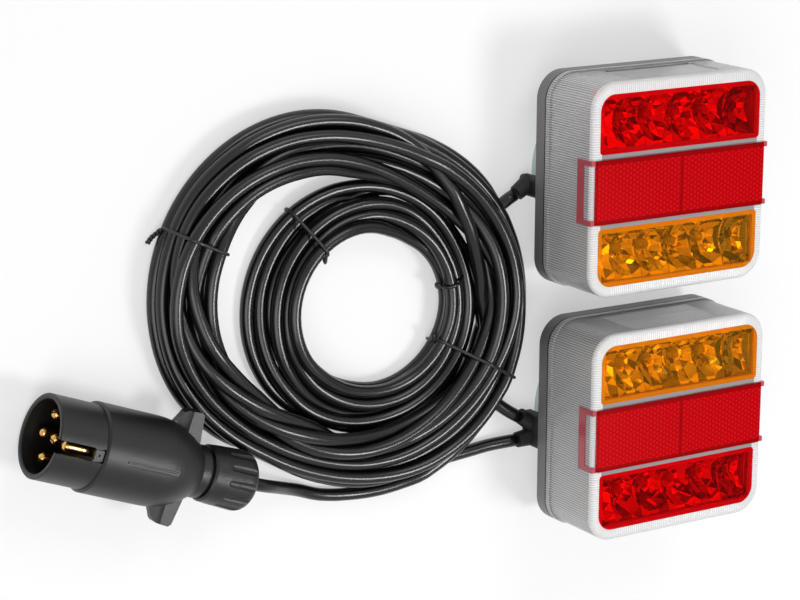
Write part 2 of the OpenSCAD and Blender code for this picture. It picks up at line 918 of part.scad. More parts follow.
module cable(route) {
    sides = 10;
    last = len(route) - 1;
    points = [for (i = [0:last]) each ring_points(route[i], heading(route, i), cable_r, sides)];
    walls = [for (i = [0:last - 1], k = [0:sides - 1])
        let (a = i * sides + k, b = i * sides + (k + 1) % sides)
        each [[a, b, b + sides], [a, b + sides, a + sides]]];
    first_cap = [for (k = [sides - 1:-1:0]) k];
    last_cap = [for (k = [0:sides - 1]) last * sides + k];
    color([0.08, 0.08, 0.08])
        polyhedron(points = points, faces = concat(walls, [first_cap, last_cap]), convexity = 4);
}

module stadium(straight, r) {
    square([straight, 2 * r], center = true);
    for (x = [-1, 1])
        translate([x * straight / 2, 0])
            circle(r = r, $fn = fine);
}

// An oval with round ends of two radii, whose middles lie on the X axis
module oval(x1, r1, x2, r2) {
    lean = acos((r1 - r2) / (x2 - x1));
    // The flanks sit this far inside the round ends, so that they cross them cleanly
    inside = 0.03;
    reach1 = (r1 - inside) * [cos(lean), sin(lean)];
    reach2 = (r2 - inside) * [cos(lean), sin(lean)];
    translate([x1, 0])
        circle(r = r1, $fn = fine);
    translate([x2, 0])
        circle(r = r2, $fn = fine);
    polygon([
        [x1 + reach1[0], reach1[1]], [x2 + reach2[0], reach2[1]],
        [x2 + reach2[0], -reach2[1]], [x1 + reach1[0], -reach1[1]]
    ]);
}

// A ring of the coil, from its outer oval to a hole given by its two ends and its radius
module coil_ring(z0, z1, inset, hole_from, hole_to, hole_r) {
    translate([0, 0, z0])
        linear_extrude(z1 - z0)
            difference() {
                oval(-end_x, coil_left_r - inset, end_x, coil_right_r - inset);
                translate([(hole_from + hole_to) / 2, 0])
                    stadium(hole_to - hole_from - 2 * hole_r, hole_r);
            }
}

module in_coil() {
    translate([coil_at[0], coil_at[1], 0])
        rotate(coil_turn)
            children();
}

// Outline of a strip that follows a route in the floor plan
function strip_side(route, reach) = [for (i = [0:len(route) - 1])
    let (point = route[i] + reach * side_of(heading(route, i))) [point[0], point[1]]];
function backwards(list) = [for (i = [len(list) - 1:-1:0]) list[i]];

// The small coil's leads run under the main coil in this channel
module cable_tunnel() {
    for (route = [link_left_route, link_right_route])
        linear_extrude(tunnel_h)
            polygon(concat(strip_side(route, tunnel_w / 2), backwards(strip_side(route, -tunnel_w / 2))));
}

module main_coil() {
    color([0.06, 0.06, 0.06])
        difference() {
            in_coil() {
                coil_ring(tie_d, lower_top, 0, hole_left, lower_right, lower_hole_r);
                coil_ring(lower_top, lower_top + cable_d, shoulder_in, hole_left, upper_right,
                    upper_hole_r);
                coil_ring(lower_top + cable_d, coil_top, crown_in, hole_left - crown_in,
                    upper_right + crown_in, upper_hole_r + crown_in);
            }
            cable_tunnel();
            in_coil()
                small_tie_place()
                    tie_room();
        }
}

module link_coil() {
    color([0.09, 0.09, 0.09])
        in_coil()
            translate([small_shift, 0, tie_d])
                linear_extrude(layer_h)
                    difference() {
                        stadium(small_straight, small_end_r);
                        stadium(small_straight, small_hole_r);
                    }
}

// A tie is a square loop of wire that stands across the coil
module tie(r_in, r_out, top) {
    color([0.13, 0.13, 0.13])
        rotate([90, 0, 0])
            linear_extrude(tie_d, center = true)
                difference() {
                    translate([r_in - slip - tie_d, 0])
                        square([r_out - r_in + 2 * (slip + tie_d), top + slip + tie_d]);
                    translate([r_in - slip, tie_d])
                        square([r_out - r_in + 2 * slip, top + slip - tie_d]);
                }
}

module small_tie_place() {
    translate([small_shift + small_straight / 2, 0, 0])
        rotate(40)
            children();
}

// Room in the main coil for the small coil's right tie
module tie_room() {
    translate([small_hole_r - tie_d - 2 * slip, -tie_d / 2 - slip, 0])
        cube([small_end_r - small_hole_r + 2 * tie_d + 4 * slip, tie_d + 2 * slip,
            lower_top + tie_d + 2 * slip]);
}

module coil_tie_left() {
    in_coil()
        translate([-end_x, 0, 0])
            rotate(180)
                tie(-hole_left - end_x, coil_left_r, coil_top);
}

module coil_tie_right() {
    in_coil()
        translate([end_x, 0, 0])
            rotate(-4)
                tie(upper_right - end_x, coil_right_r, coil_top);
}

module coil_tie_inner_left() {
    in_coil()
        translate([small_shift - small_straight / 2, 0, 0])
            rotate(151)
                tie(small_hole_r, small_end_r, lower_top);
}

module coil_tie_inner_right() {
    in_coil()
        small_tie_place()
            tie(small_hole_r, small_end_r, lower_top);
}

red_tint = [0.85, 0.05, 0.05];
amber_tint = [1, 0.6, 0.05];

at_left() lens(true);  // left_lens
at_left() window_pane(red_tint, 0);  // left_red_window
at_left() window_pane(amber_tint, 180);  // left_amber_window
at_left() reflex_reflector();  // left_reflex_reflector
at_left() reflector_tray();  // left_reflector_tray
at_left() circuit_board();  // left_circuit_board
at_left() leds("mistyrose", 1);  // left_red_leds
at_left() leds("wheat", -1);  // left_amber_leds
at_left() base([-boot_neck_x, boot_left_y]);  // left_base
at_left() seal();  // left_seal
at_left() lens_screws();  // left_lens_screws
at_left() cable_boot(boot_left_y, 10, [[-3.1, 213]]);  // left_cable_boot
at_left() magnet_cup();  // left_magnet_cup
at_left() magnet_ring();  // left_magnet_ring
at_left() magnet_screw();  // left_magnet_screw
at_left() magnet_nut();  // left_magnet_nut
at_left() plate_board();
at_left() plate_leds();

at_right() lens(false);  // right_lens
at_right() window_pane(red_tint, 0);  // right_red_window
at_right() window_pane(amber_tint, 180);  // right_amber_window
at_right() reflex_reflector();  // right_reflex_reflector
at_right() reflector_tray();  // right_reflector_tray
at_right() circuit_board();  // right_circuit_board
at_right() leds("mistyrose", 1);  // right_red_leds
at_right() leds("wheat", -1);  // right_amber_leds
at_right() base([boot_neck_x, -boot_right_y]);  // right_base
at_right() seal();  // right_seal
at_right() lens_screws();  // right_lens_screws
at_right_boot() cable_boot(boot_right_y, 17, [[-10.8, 183.6], [-4.6, 146.5]]);  // right_cable_boot
at_right() magnet_cup();  // right_magnet_cup
at_right() magnet_ring();  // right_magnet_ring
at_right() magnet_screw();  // right_magnet_screw
at_right() magnet_nut();  // right_magnet_nut

in_plug() plug_sleeve();
in_plug() plug_shell();  // plug_shell_left
in_plug() mirror([0, 1, 0]) plug_shell();  // plug_shell_right
in_plug() plug_pin(1);  // plug_pin_1
in_plug() plug_pin(2);  // plug_pin_2
in_plug() plug_pin(3);  // plug_pin_3
in_plug() plug_pin(4);  // plug_pin_4
in_plug() plug_pin(5);  // plug_pin_5
in_plug() plug_pin(6);  // plug_pin_6
in_plug() plug_pin(0);  // plug_pin_7
in_plug() plug_terminal_screws();
in_plug() plug_cable_clamp();
in_plug() gland_seal();
in_plug() gland_nut();

cable(plug_route);  // main_lead_plug_end
main_coil();
cable(lamp_route);  // main_lead_lamp_end
cable(link_left_route);  // link_lead_left_end
link_coil();
cable(link_right_route);  // link_lead_right_end
coil_tie_left();
coil_tie_right();
coil_tie_inner_left();
coil_tie_inner_right();
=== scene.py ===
# Magnetic towing light set: two square rear lamps on pot magnets, two coils of cable
# and a seven-pin plug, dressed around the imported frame.

import math

import bmesh
import bpy
import numpy as np
from mathutils import Matrix, Vector


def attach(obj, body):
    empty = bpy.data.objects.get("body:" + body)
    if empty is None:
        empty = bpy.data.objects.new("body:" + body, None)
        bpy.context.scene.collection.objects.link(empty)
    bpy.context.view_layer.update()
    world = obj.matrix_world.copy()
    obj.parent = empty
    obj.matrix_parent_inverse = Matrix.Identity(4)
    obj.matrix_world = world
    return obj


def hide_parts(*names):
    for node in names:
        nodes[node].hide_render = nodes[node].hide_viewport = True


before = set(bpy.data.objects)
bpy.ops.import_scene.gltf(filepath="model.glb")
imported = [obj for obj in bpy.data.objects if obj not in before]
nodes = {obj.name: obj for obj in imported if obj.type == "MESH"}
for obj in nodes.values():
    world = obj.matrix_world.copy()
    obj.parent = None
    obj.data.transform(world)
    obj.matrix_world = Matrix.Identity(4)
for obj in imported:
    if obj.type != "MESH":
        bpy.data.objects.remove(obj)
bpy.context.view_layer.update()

MM = 0.001


# Camera. A long lens from high on the left, as the set was photographed on a table.
# Its axes are the picture's right, down and forward in the room.
EYE = Vector((-753, 298.4, 1006)) * MM
PICTURE_RIGHT = Vector((0.8471, 0.0045, 0.5314))
PICTURE_DOWN = Vector((-0.1232, -0.971, 0.2048))

lens_data = bpy.data.cameras.new("camera")
lens_data.sensor_width = 36
lens_data.lens = 117
lens_data.clip_start = 0.05
camera = bpy.data.objects.new("camera", lens_data)
bpy.context.scene.collection.objects.link(camera)
back = PICTURE_RIGHT.cross(-PICTURE_DOWN).normalized()
up = back.cross(PICTURE_RIGHT).normalized()
turn = Matrix((PICTURE_RIGHT.normalized(), up, back)).transposed()
camera.matrix_world = Matrix.Translation(EYE) @ turn.to_4x4()
bpy.context.scene.camera = camera


# Cables. Round black PVC, 6.2 mm, wound by hand: fourteen turns from the plug and seven
# between the lamps. The turns slide from place to place in the bundle's section, then
# settle under gravity, stiffness and contact, inside the outline of the coil.
CABLE_D = 6.2
CABLE_R = CABLE_D / 2

PLUG_ROUTE = [
    (-214.9, -62.5, 20.3), (-210, -64.4, 20.1), (-203, -67.1, 17.8), (-195, -70.3, 13),
    (-187, -73.6, 8), (-178, -77, 4.3), (-167, -81.2, 3.1), (-154, -83.6, 3.1),
]
LAMP_ROUTE = [
    (-100, -74.9, 3.1), (-92, -74.2, 3.1), (-82, -73.3, 3.1), (-72, -72.3, 3.2),
    (-63, -71.7, 4.3), (-57, -71.3, 5.5),
]
LINK_LEFT_ROUTE = [
    (-59.6, 51.2, 5.5), (-64, 48.3, 4.4), (-68.8, 44, 3.4), (-72.6, 36.6, 3.1),
    (-74.4, 29, 3.1), (-76.4, 21.5, 3.1),
]
LINK_RIGHT_ROUTE = [
    (-75.3, -9.5, 3.1), (-75, -15.5, 3.1), (-74.5, -23, 4), (-74, -33, 5),
    (-72.4, -42.6, 4.6), (-68.4, -50.1, 3.5), (-62.4, -55.2, 4.2), (-55.6, -59.7, 5.5),
]

# The main coil's outline is two arcs and their tangents, along its own long axis
COIL_AT = np.array([-156.0, 12.6])
COIL_TURN = math.radians(-25)
END_X = 19.0
LEFT_R = 81.0
RIGHT_R = 85.0
BAND_LEFT = 25.8
BAND_RIGHT = 23.0
BAND_UPPER_RIGHT = 51.0
HOLE_LEFT = -END_X - LEFT_R + BAND_LEFT
LOWER_HOLE = (END_X + RIGHT_R - BAND_RIGHT, 60.5)
UPPER_HOLE = (END_X + RIGHT_R - BAND_UPPER_RIGHT, 52.0)
SMALL_SHIFT = LOWER_HOLE[0] - 66.3
SMALL_HALF = 7.0
SMALL_R = 59.0
SMALL_HOLE_R = 34.2
# The hole widens to the right below this height, and the turns end near this point
HOLE_STEP_Z = 10.2
COIL_END = (-135.6, -76.7)
LAST_LANE = 3.16


def ease(x):
    x = np.clip(x, 0, 1)
    return x * x * (3 - 2 * x)


def to_room(p):
    c, s = math.cos(COIL_TURN), math.sin(COIL_TURN)
    return np.stack([COIL_AT[0] + p[:, 0] * c - p[:, 1] * s,
                     COIL_AT[1] + p[:, 0] * s + p[:, 1] * c, p[:, 2]], 1)


def to_coil(p):
    c, s = math.cos(COIL_TURN), math.sin(COIL_TURN)
    q = p[:, :2] - COIL_AT
    return np.stack([q[:, 0] * c + q[:, 1] * s, -q[:, 0] * s + q[:, 1] * c, p[:, 2]], 1)


def spaced(points, step):
    points = np.asarray(points, float)
    run = np.concatenate([[0], np.cumsum(np.linalg.norm(np.diff(points, axis=0), axis=1))])
    along = np.linspace(0, run[-1], int(round(run[-1] / step)) + 1)
    return np.stack([np.interp(along, run, points[:, i]) for i in range(3)], 1)


def curve_through(points, step):
    p = np.asarray(points, float)
    out = []
    for i in range(len(p) - 1):
        a, b, c, d = p[max(i - 1, 0)], p[i], p[i + 1], p[min(i + 2, len(p) - 1)]
        for t in np.linspace(0, 1, 8, endpoint=False):
            out.append(0.5 * (2 * b + (c - a) * t + (2 * a - 5 * b + 4 * c - d) * t * t
                              + (3 * b - a - 3 * c + d) * t ** 3))
    out.append(p[-1])
    return spaced(out, step)


def outline(x1, r1, x2, r2, count=720):
    """Points and outward directions of the oval, evenly spaced and counter-clockwise."""
    lean = math.acos((r1 - r2) / (x2 - x1))
    left = np.linspace(lean, 2 * math.pi - lean, count)
    right = np.linspace(-lean, lean, count)
    angle = np.concatenate([left, right])
    radius = np.repeat([r1, r2], count)
    middle = np.repeat([x1, x2], count)
    out = np.stack([np.cos(angle), np.sin(angle)], 1)
    points = out * radius[:, None]
    points[:, 0] += middle
    loop = np.vstack([points, points[:1]])
    out = np.vstack([out, out[:1]])
    run = np.concatenate([[0], np.cumsum(np.linalg.norm(np.diff(loop, axis=0), axis=1))])
    along = np.linspace(0, run[-1], count, endpoint=False)
    even = [np.interp(along, run, v) for v in (loop[:, 0], loop[:, 1], out[:, 0], out[:, 1])]
    size = np.hypot(even[2], even[3])
    return np.stack(even[:2], 1), np.stack([even[2] / size, even[3] / size], 1)


def on_loop(values, place):
    n = len(values)
    return np.interp(place % n, np.arange(n + 1), np.append(values, values[0]))


def wander(random, x, waves):
    return sum(size * np.sin(2 * math.pi * (often * x + random.random())) for often, size in waves)


def slide(random, places, x):
    """Lane and layer of each point, easing from one turn's place to the next one's."""
    places = np.array(places, float)
    last = len(places) - 1
    k = np.minimum(x.astype(int), last)
    begin = random.uniform(0.05, 0.45, last + 1)
    width = random.uniform(0.4, 0.55, last + 1)
    mix = ease((x - k - begin[k]) / width[k])[:, None]
    return places[k] * (1 - mix) + places[np.minimum(k + 1, last)] * mix


# Lanes count from the outside, layers from the floor
MAIN_PLACES = [(0, 1), (1, 1), (2, 1), (3, 1), (3, 2), (2, 2), (0.7, 3), (1, 2), (0, 2),
               (2.3, 3), (3, 0), (2, 0), (1, 0), (0, 0)]
SMALL_PLACES = [(0, 0), (0, 1), (1, 0), (1, 1), (2, 1), (3, 0.6), (2, 0), (0, 0)]


def main_turns(seed):
    random = np.random.default_rng(seed)
    edge, out = outline(-END_X, LEFT_R, END_X, RIGHT_R)
    n = len(edge)

    def place_near(x, y):
        spot = to_coil(np.array([[x, y, 0.0]]))[0, :2]
        return int(np.argmin(np.linalg.norm(edge - spot, axis=1))) / n

    begin = place_near(*PLUG_ROUTE[-1][:2])
    turns = len(MAIN_PLACES) + (place_near(*COIL_END) - begin + 0.5) % 1 - 0.5
    x = np.linspace(0, turns, 4000)
    lane, layer = slide(random, MAIN_PLACES, x).T
    upper = ease((layer - 1.2) / 0.8)
    stray = wander(random, x, [(0.83, 0.45), (1.57, 0.3), (2.3, 0.15)])
    lane = np.clip(lane + upper * stray * ease(x) * ease(turns - x), 0, LAST_LANE)
    place = (begin + x) * n
    nx, ny = on_loop(out[:, 0], place), on_loop(out[:, 1], place)
    # The upper half spreads over the small coil on the right
    eastern = ease((nx + 1) / 2)
    lower_width = BAND_LEFT + (BAND_RIGHT - BAND_LEFT) * eastern
    upper_width = BAND_LEFT + (BAND_UPPER_RIGHT - BAND_LEFT) * ease((nx + 0.25) / 1.1)
    inward = CABLE_R + lane / LAST_LANE * (lower_width * (1 - upper) + upper_width * upper - CABLE_D)
    return to_room(np.stack([on_loop(edge[:, 0], place) - nx * inward,
                             on_loop(edge[:, 1], place) - ny * inward,
                             CABLE_R + layer * CABLE_D * 0.98], 1))


def small_turns(seed):
    random = np.random.default_rng(seed)
    turns = len(SMALL_PLACES) - 1
    x = np.linspace(0, turns, 3000)
    lane, layer = slide(random, SMALL_PLACES, x).T
    lane = lane + wander(random, x, [(0.9, 0.25), (1.7, 0.2)]) * ease(x) * ease(turns - x)
    lane = np.clip(lane, 0, 3)
    edge, out = outline(-SMALL_HALF, SMALL_R, SMALL_HALF + 0.001, SMALL_R)
    n = len(edge)
    east = -COIL_TURN
    first = np.array([SMALL_HALF + SMALL_R * math.cos(east), SMALL_R * math.sin(east)])
    place = int(np.argmin(np.linalg.norm(edge - first, axis=1))) - x * n
    nx, ny = on_loop(out[:, 0], place), on_loop(out[:, 1], place)
    inward = CABLE_R + lane * CABLE_D
    return to_room(np.stack([on_loop(edge[:, 0], place) - nx * inward + SMALL_SHIFT,
                             on_loop(edge[:, 1], place) - ny * inward,
                             CABLE_R + layer * CABLE_D], 1))


def soften(p):
    """Rounds the corners where a lead meets its coil, and leaves the leads' own ends."""
    q = p.copy()
    for _ in range(12):
        q[1:-1] += 0.25 * (q[:-2] + q[2:] - 2 * q[1:-1])
    i = np.arange(len(p))
    weight = np.clip((i - 14) / 6, 0, 1) * np.clip((len(p) - 11 - i) / 6, 0, 1)
    return p + (q - p) * weight[:, None]


def hold_in(p, main, slack):
    """Pushes points back between the outer edge and the hole of their coil."""
    x, y, z = to_coil(p).T
    z = np.maximum(z, CABLE_R)
    lean = math.acos((LEFT_R - RIGHT_R) / (2 * END_X))
    nx, ny = math.cos(lean), math.sin(lean)
    side = np.abs(y)
    start = np.array([-END_X + LEFT_R * nx, LEFT_R * ny])
    flank = np.array([END_X + RIGHT_R * nx, RIGHT_R * ny]) - start
    length = np.linalg.norm(flank)
    along = ((x - start[0]) * flank[0] + (side - start[1]) * flank[1]) / length
    middle = np.where(along < 0, -END_X, END_X)
    radius = np.where(along < 0, LEFT_R, RIGHT_R)
    reach = np.maximum(np.hypot(x - middle, side), 1e-6)
    on_flank = (along >= 0) & (along <= length)
    out = np.where(on_flank, (x - start[0]) * nx + (side - start[1]) * ny, reach - radius)
    gx = np.where(on_flank, nx, (x - middle) / reach)
    gy = np.where(on_flank, ny, side / reach) * np.sign(y)
    over = np.where(main, np.maximum(out + CABLE_R - slack, 0), 0) * 0.5
    x, y = x - gx * over, y - gy * over
    # The hole is wider to the right below than above
    rise = ease((z - HOLE_STEP_Z) / 3)
    hole_to = LOWER_HOLE[0] * (1 - rise) + UPPER_HOLE[0] * rise
    hole_r = LOWER_HOLE[1] * (1 - rise) + UPPER_HOLE[1] * rise
    near = np.clip(x, HOLE_LEFT + hole_r, np.maximum(hole_to - hole_r, HOLE_LEFT + hole_r))
    reach = np.maximum(np.hypot(x - near, y), 1e-6)
    push = np.where(main, np.maximum(hole_r + CABLE_R - reach, 0), 0) * 0.5
    x, y = x + (x - near) / reach * push, y + y / reach * push
    for limit, sign in ((SMALL_R - CABLE_R, -1), (SMALL_HOLE_R + CABLE_R, 1)):
        near = np.clip(x - SMALL_SHIFT, -SMALL_HALF, SMALL_HALF) + SMALL_SHIFT
        reach = np.maximum(np.hypot(x - near, y), 1e-6)
        room = slack if sign < 0 else 0
        push = np.where(~main, np.maximum(sign * (limit - reach) - room, 0), 0) * 0.5 * sign
        x, y = x + (x - near) / reach * push, y + y / reach * push
    return to_room(np.stack([x, y, z], 1))


# The outer walls give way by this much at the leads, and less with distance from them.
# The cables sink by so much a round, early and late, and pairs nearer than this can meet
LEAD_SLACK = 12.0
SLACK_REACH = 110.0
FALL, LATE_FALL = 0.3, 0.03
PAIR_REACH = CABLE_D + 5


def lead_points(route, step):
    return int(np.linalg.norm(np.diff(route, axis=0), axis=1).sum() / step) + 1


def settle(main, small, rounds, step):
    """Lets both cables sink, straighten and part from each other, with their leads held."""
    p = np.vstack([main, small])
    first, n = len(main), len(main) + len(small)
    is_main = np.arange(n) < first
    linked = np.ones(n - 1, bool)
    linked[first - 1] = False
    held = np.zeros(n, bool)
    held[:lead_points(PLUG_ROUTE, step)] = True
    held[first - lead_points(LAMP_ROUTE, step):first] = True
    held[first:first + lead_points(LINK_LEFT_ROUTE, step)] = True
    held[n - lead_points(LINK_RIGHT_ROUTE, step):] = True
    free = ~held
    rest = np.linalg.norm(np.diff(p, axis=0), axis=1)
    total = rest[:first - 1].sum(), rest[first:].sum()
    place = np.arange(n)
    away = np.abs(place[:, None] - place[held][None, :])
    away = np.where(is_main[:, None] == is_main[held][None, :], away, n).min(1) * step
    slack = LEAD_SLACK * (1 - np.minimum(away / SLACK_REACH, 1))
    near = np.zeros((0, 2), int)
    for round_no in range(rounds):
        late = round_no > rounds * 0.7
        p[free, 2] -= FALL if round_no < rounds * 0.6 else LATE_FALL
        for stride in (4, 2, 1, 1) if late else (8, 4, 2, 1):
            weight = 0.12 / 16 if stride == 8 else 0.5 / 16
            for begin, end in ((0, first), (first, n)):
                s = p[begin:end]
                bend = (s[:-4 * stride] - 4 * s[stride:-3 * stride] + 6 * s[2 * stride:-2 * stride]
                        - 4 * s[3 * stride:-stride] + s[4 * stride:])
                move = np.zeros_like(s)
                move[2 * stride:-2 * stride] = -bend * weight
                move[~free[begin:end]] = 0
                s += move
        # Spare length spreads along the cable and doesn't buckle
        if round_no % 4 == 3:
            now = np.linalg.norm(np.diff(p, axis=0), axis=1)
            wide = np.convolve(np.pad(now, 12, mode="edge"), np.ones(25) / 25, "valid")
            apart = linked.copy()
            apart[max(0, first - 14):first + 13] = False
            rest = np.where(apart, 0.5 * rest + 0.5 * wide, rest)
            rest[:first - 1] *= 1 + 0.5 * (total[0] / rest[:first - 1].sum() - 1)
            rest[first:] *= 1 + 0.5 * (total[1] / rest[first:].sum() - 1)
        if round_no % 6 == 0:
            found = []
            for begin in range(0, n, 512):
                gap = ((p[begin:begin + 512, None, :] - p[None, :, :]) ** 2).sum(2)
                a, b = np.nonzero(gap < PAIR_REACH ** 2)
                a = a + begin
                keep = (b > a) & ((b - a > 6) | (is_main[a] != is_main[b]))
                found.append(np.stack([a[keep], b[keep]], 1))
            near = np.vstack(found)
        for _ in range(3):
            a, b = near[:, 0], near[:, 1]
            gap = p[b] - p[a]
            dist = np.linalg.norm(gap, axis=1)
            hit = dist < CABLE_D
            a, b, gap, dist = a[hit], b[hit], gap[hit], dist[hit]
            # A pair that is almost at one place parts upwards
            gap[dist < 0.5] = (0, 0, 1)
            push = gap * ((CABLE_D - np.where(dist < 0.5, 0, dist)) / np.where(dist < 0.5, 1, dist))[:, None]
            wa, wb = free[a].astype(float), free[b].astype(float)
            both = np.maximum(wa + wb, 1)
            move, count = np.zeros_like(p), np.zeros(n)
            np.add.at(move, a, -push * (wa / both)[:, None])
            np.add.at(move, b, push * (wb / both)[:, None])
            np.add.at(count, a, 1)
            np.add.at(count, b, 1)
            p += move / np.maximum(count, 1)[:, None] * (1.0 if late else 1.3)
            for parity in (0, 1):
                a = np.arange(parity, n - 1, 2)
                a = a[linked[a]]
                gap = p[a + 1] - p[a]
                size = np.linalg.norm(gap, axis=1)
                wa, wb = free[a].astype(float), free[a + 1].astype(float)
                both = np.maximum(wa + wb, 1)
                move = gap * ((size - rest[a]) / size)[:, None]
                p[a] += move * (wa / both)[:, None]
                p[a + 1] -= move * (wb / both)[:, None]
            p[free] = hold_in(p[free], is_main[free], slack[free])
    return p[:first], p[first:]


def ease_bends(p, leads):
    """Smooths where the cable bends too hard, and keeps the leads' first points."""
    q = p.copy()
    inner = np.arange(leads, len(p) - leads)
    for _ in range(40):
        kink = np.linalg.norm(q[:-2] - 2 * q[1:-1] + q[2:], axis=1)
        hard = np.concatenate([[0], np.clip(kink / 0.9 - 1, 0, 1), [0]])
        hard = np.convolve(hard, np.ones(7) / 7, "same")[inner, None]
        toward = q[inner - 1] + q[inner + 1] - 2 * q[inner]
        q[inner] += (0.06 + 0.44 * np.minimum(hard * 3, 1)) * 0.5 * toward * (hard > 0)
    return q


STEP = 5.0
ROUNDS = 300
MAIN_SEED, SMALL_SEED = 4, 9

# The turns' first and last points make room for the leads
main_line = np.vstack([curve_through(PLUG_ROUTE, 2), main_turns(MAIN_SEED)[45:-25],
                       curve_through(LAMP_ROUTE, 2)])
small_line = np.vstack([curve_through(LINK_LEFT_ROUTE, 2), small_turns(SMALL_SEED)[12:-12],
                        curve_through(LINK_RIGHT_ROUTE, 2)])
main_line = soften(spaced(main_line, STEP))
small_line = soften(spaced(small_line, STEP))
main_line, small_line = settle(main_line, small_line, ROUNDS, STEP)
main_line = curve_through(ease_bends(main_line, 10), 4)
small_line = curve_through(ease_bends(small_line, 6), 4)


def tube(points, radius, sides=12):
    """Rings of points round a line, carried along it without twist."""
    points = np.asarray(points, float)
    heading = np.gradient(points, axis=0)
    heading /= np.linalg.norm(heading, axis=1)[:, None]
    across = np.cross(heading[0], (0, 0, 1))
    across /= np.linalg.norm(across)
    angle = np.linspace(0, 2 * math.pi, sides, endpoint=False)
    verts = []
    for point, ahead in zip(points, heading):
        across = across - ahead * across.dot(ahead)
        across /= np.linalg.norm(across)
        above = np.cross(across, ahead)
        verts.append(point + radius * (np.cos(angle)[:, None] * across + np.sin(angle)[:, None] * above))
    verts = np.vstack(verts)
    rings = len(points)
    faces = []
    for i in range(rings - 1):
        for k in range(sides):
            m = (k + 1) % sides
            faces.append((i * sides + k, i * sides + m, (i + 1) * sides + m, (i + 1) * sides + k))
    faces.append(tuple(range(sides - 1, -1, -1)))
    faces.append(tuple((rings - 1) * sides + k for k in range(sides)))
    return verts, faces


def piece(name, verts, faces, material, smooth=True):
    """Makes an object from points in millimetres, on the one body of the set."""
    mesh = bpy.data.meshes.new(name)
    mesh.from_pydata([tuple(v) for v in np.asarray(verts, float) * MM], [], faces)
    mesh.validate()
    mesh.update()
    if smooth:
        mesh.shade_smooth()
    obj = bpy.data.objects.new(name, mesh)
    bpy.context.scene.collection.objects.link(obj)
    mesh.materials.append(material)
    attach(obj, "root")
    return obj


def linear(hex_colour):
    """Turns an sRGB hex colour to linear light."""
    value = hex_colour.lstrip("#")
    parts = [int(value[i:i + 2], 16) / 255 for i in (0, 2, 4)]
    return tuple(c / 12.92 if c <= 0.04045 else ((c + 0.055) / 1.055) ** 2.4 for c in parts) + (1.0,)


def node(tree, kind, settings=None, links=None):
    """Adds a shader node, sets its properties and sockets, and links its inputs."""
    made = tree.nodes.new(kind)
    for key, value in (settings or {}).items():
        if isinstance(key, str) and hasattr(made, key) and key not in made.inputs:
            setattr(made, key, value)
        else:
            made.inputs[key].default_value = value
    for key, source in (links or {}).items():
        tree.links.new(source, made.inputs[key])
    return made


def material(name):
    made = bpy.data.materials.new(name)
    made.use_nodes = True
    made.node_tree.nodes.clear()
    return made, made.node_tree


def finish(tree, settings, links=None):
    surface = node(tree, "ShaderNodeBsdfPrincipled", settings, links)
    node(tree, "ShaderNodeOutputMaterial", None, {"Surface": surface.outputs["BSDF"]})


def math_node(tree, operation, a, b=None):
    made = tree.nodes.new("ShaderNodeMath")
    made.operation = operation
    for i, value in enumerate((a, b)):
        if isinstance(value, (int, float)):
            made.inputs[i].default_value = value
        elif value is not None:
            tree.links.new(value, made.inputs[i])
    return made.outputs[0]


def noise(tree, scale, detail=2.0):
    place = node(tree, "ShaderNodeTexCoord").outputs["Object"]
    made = node(tree, "ShaderNodeTexNoise", {"Scale": scale, "Detail": detail}, {"Vector": place})
    return made.outputs["Fac"]


def shade(tree, low, high, mix):
    """A colour from low, which may be a socket, to high as mix goes from 0 to 1."""
    settings, links = {"data_type": "RGBA", 7: linear(high)}, {0: mix}
    if isinstance(low, str):
        settings[6] = linear(low)
    else:
        links[6] = low
    return node(tree, "ShaderNodeMix", settings, links).outputs[2]


def span(tree, low, high, mix):
    """A number from low to high as mix goes from 0 to 1."""
    made = node(tree, "ShaderNodeMapRange", {"To Min": low, "To Max": high}, {"Value": mix})
    return made.outputs["Result"]


def bump(tree, height, strength, depth):
    made = node(tree, "ShaderNodeBump", {"Strength": strength, "Distance": depth}, {"Height": height})
    return made.outputs["Normal"]


def grained(name, low, high, scale, detail, settings, strength=0.0, depth=0.0001):
    """A surface of two close colours in a fine grain, which can lift it a little too."""
    made, tree = material(name)
    grain = noise(tree, scale, detail)
    links = {"Base Color": shade(tree, low, high, grain)}
    if strength:
        links["Normal"] = bump(tree, grain, strength, depth)
    finish(tree, settings, links)
    return made


# Extruded flexible PVC: satin, with faint rings and drag marks a few millimetres long
pvc_sheath, tree = material("extruded_pvc_sheath")
soft = noise(tree, 45.0)
finish(tree, {"IOR": 1.53}, {"Base Color": shade(tree, "#070708", "#0f0f10", soft),
                             "Roughness": span(tree, 0.21, 0.3, soft),
                             "Normal": bump(tree, noise(tree, 260.0, 3.0), 0.05, 0.0002)})

main_cable = piece("main_cable", *tube(main_line, CABLE_R), pvc_sheath)
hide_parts("main_lead_plug_end", "main_coil", "main_lead_lamp_end")
link_cable = piece("link_cable", *tube(small_line, CABLE_R), pvc_sheath)
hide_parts("link_lead_left_end", "link_coil", "link_lead_right_end")


# Coil ties. Short lengths of soft wire in black plastic, laid round the bundle and
# twisted shut by hand. Each lies on the outer strands where it crosses them.
TIE_R = 0.8
TAIL_REACH = 2.2
TWIST_R = 0.6
TWISTS = 2.5

# Plastic-covered wire: nearly smooth black with pale highlights on its twist
tie_plastic = grained("plastic_covered_wire", "#161617", "#1f1f20", 900.0, 2.0,
                      {"Roughness": 0.3, "IOR": 1.5}, 0.2, 0.0002)


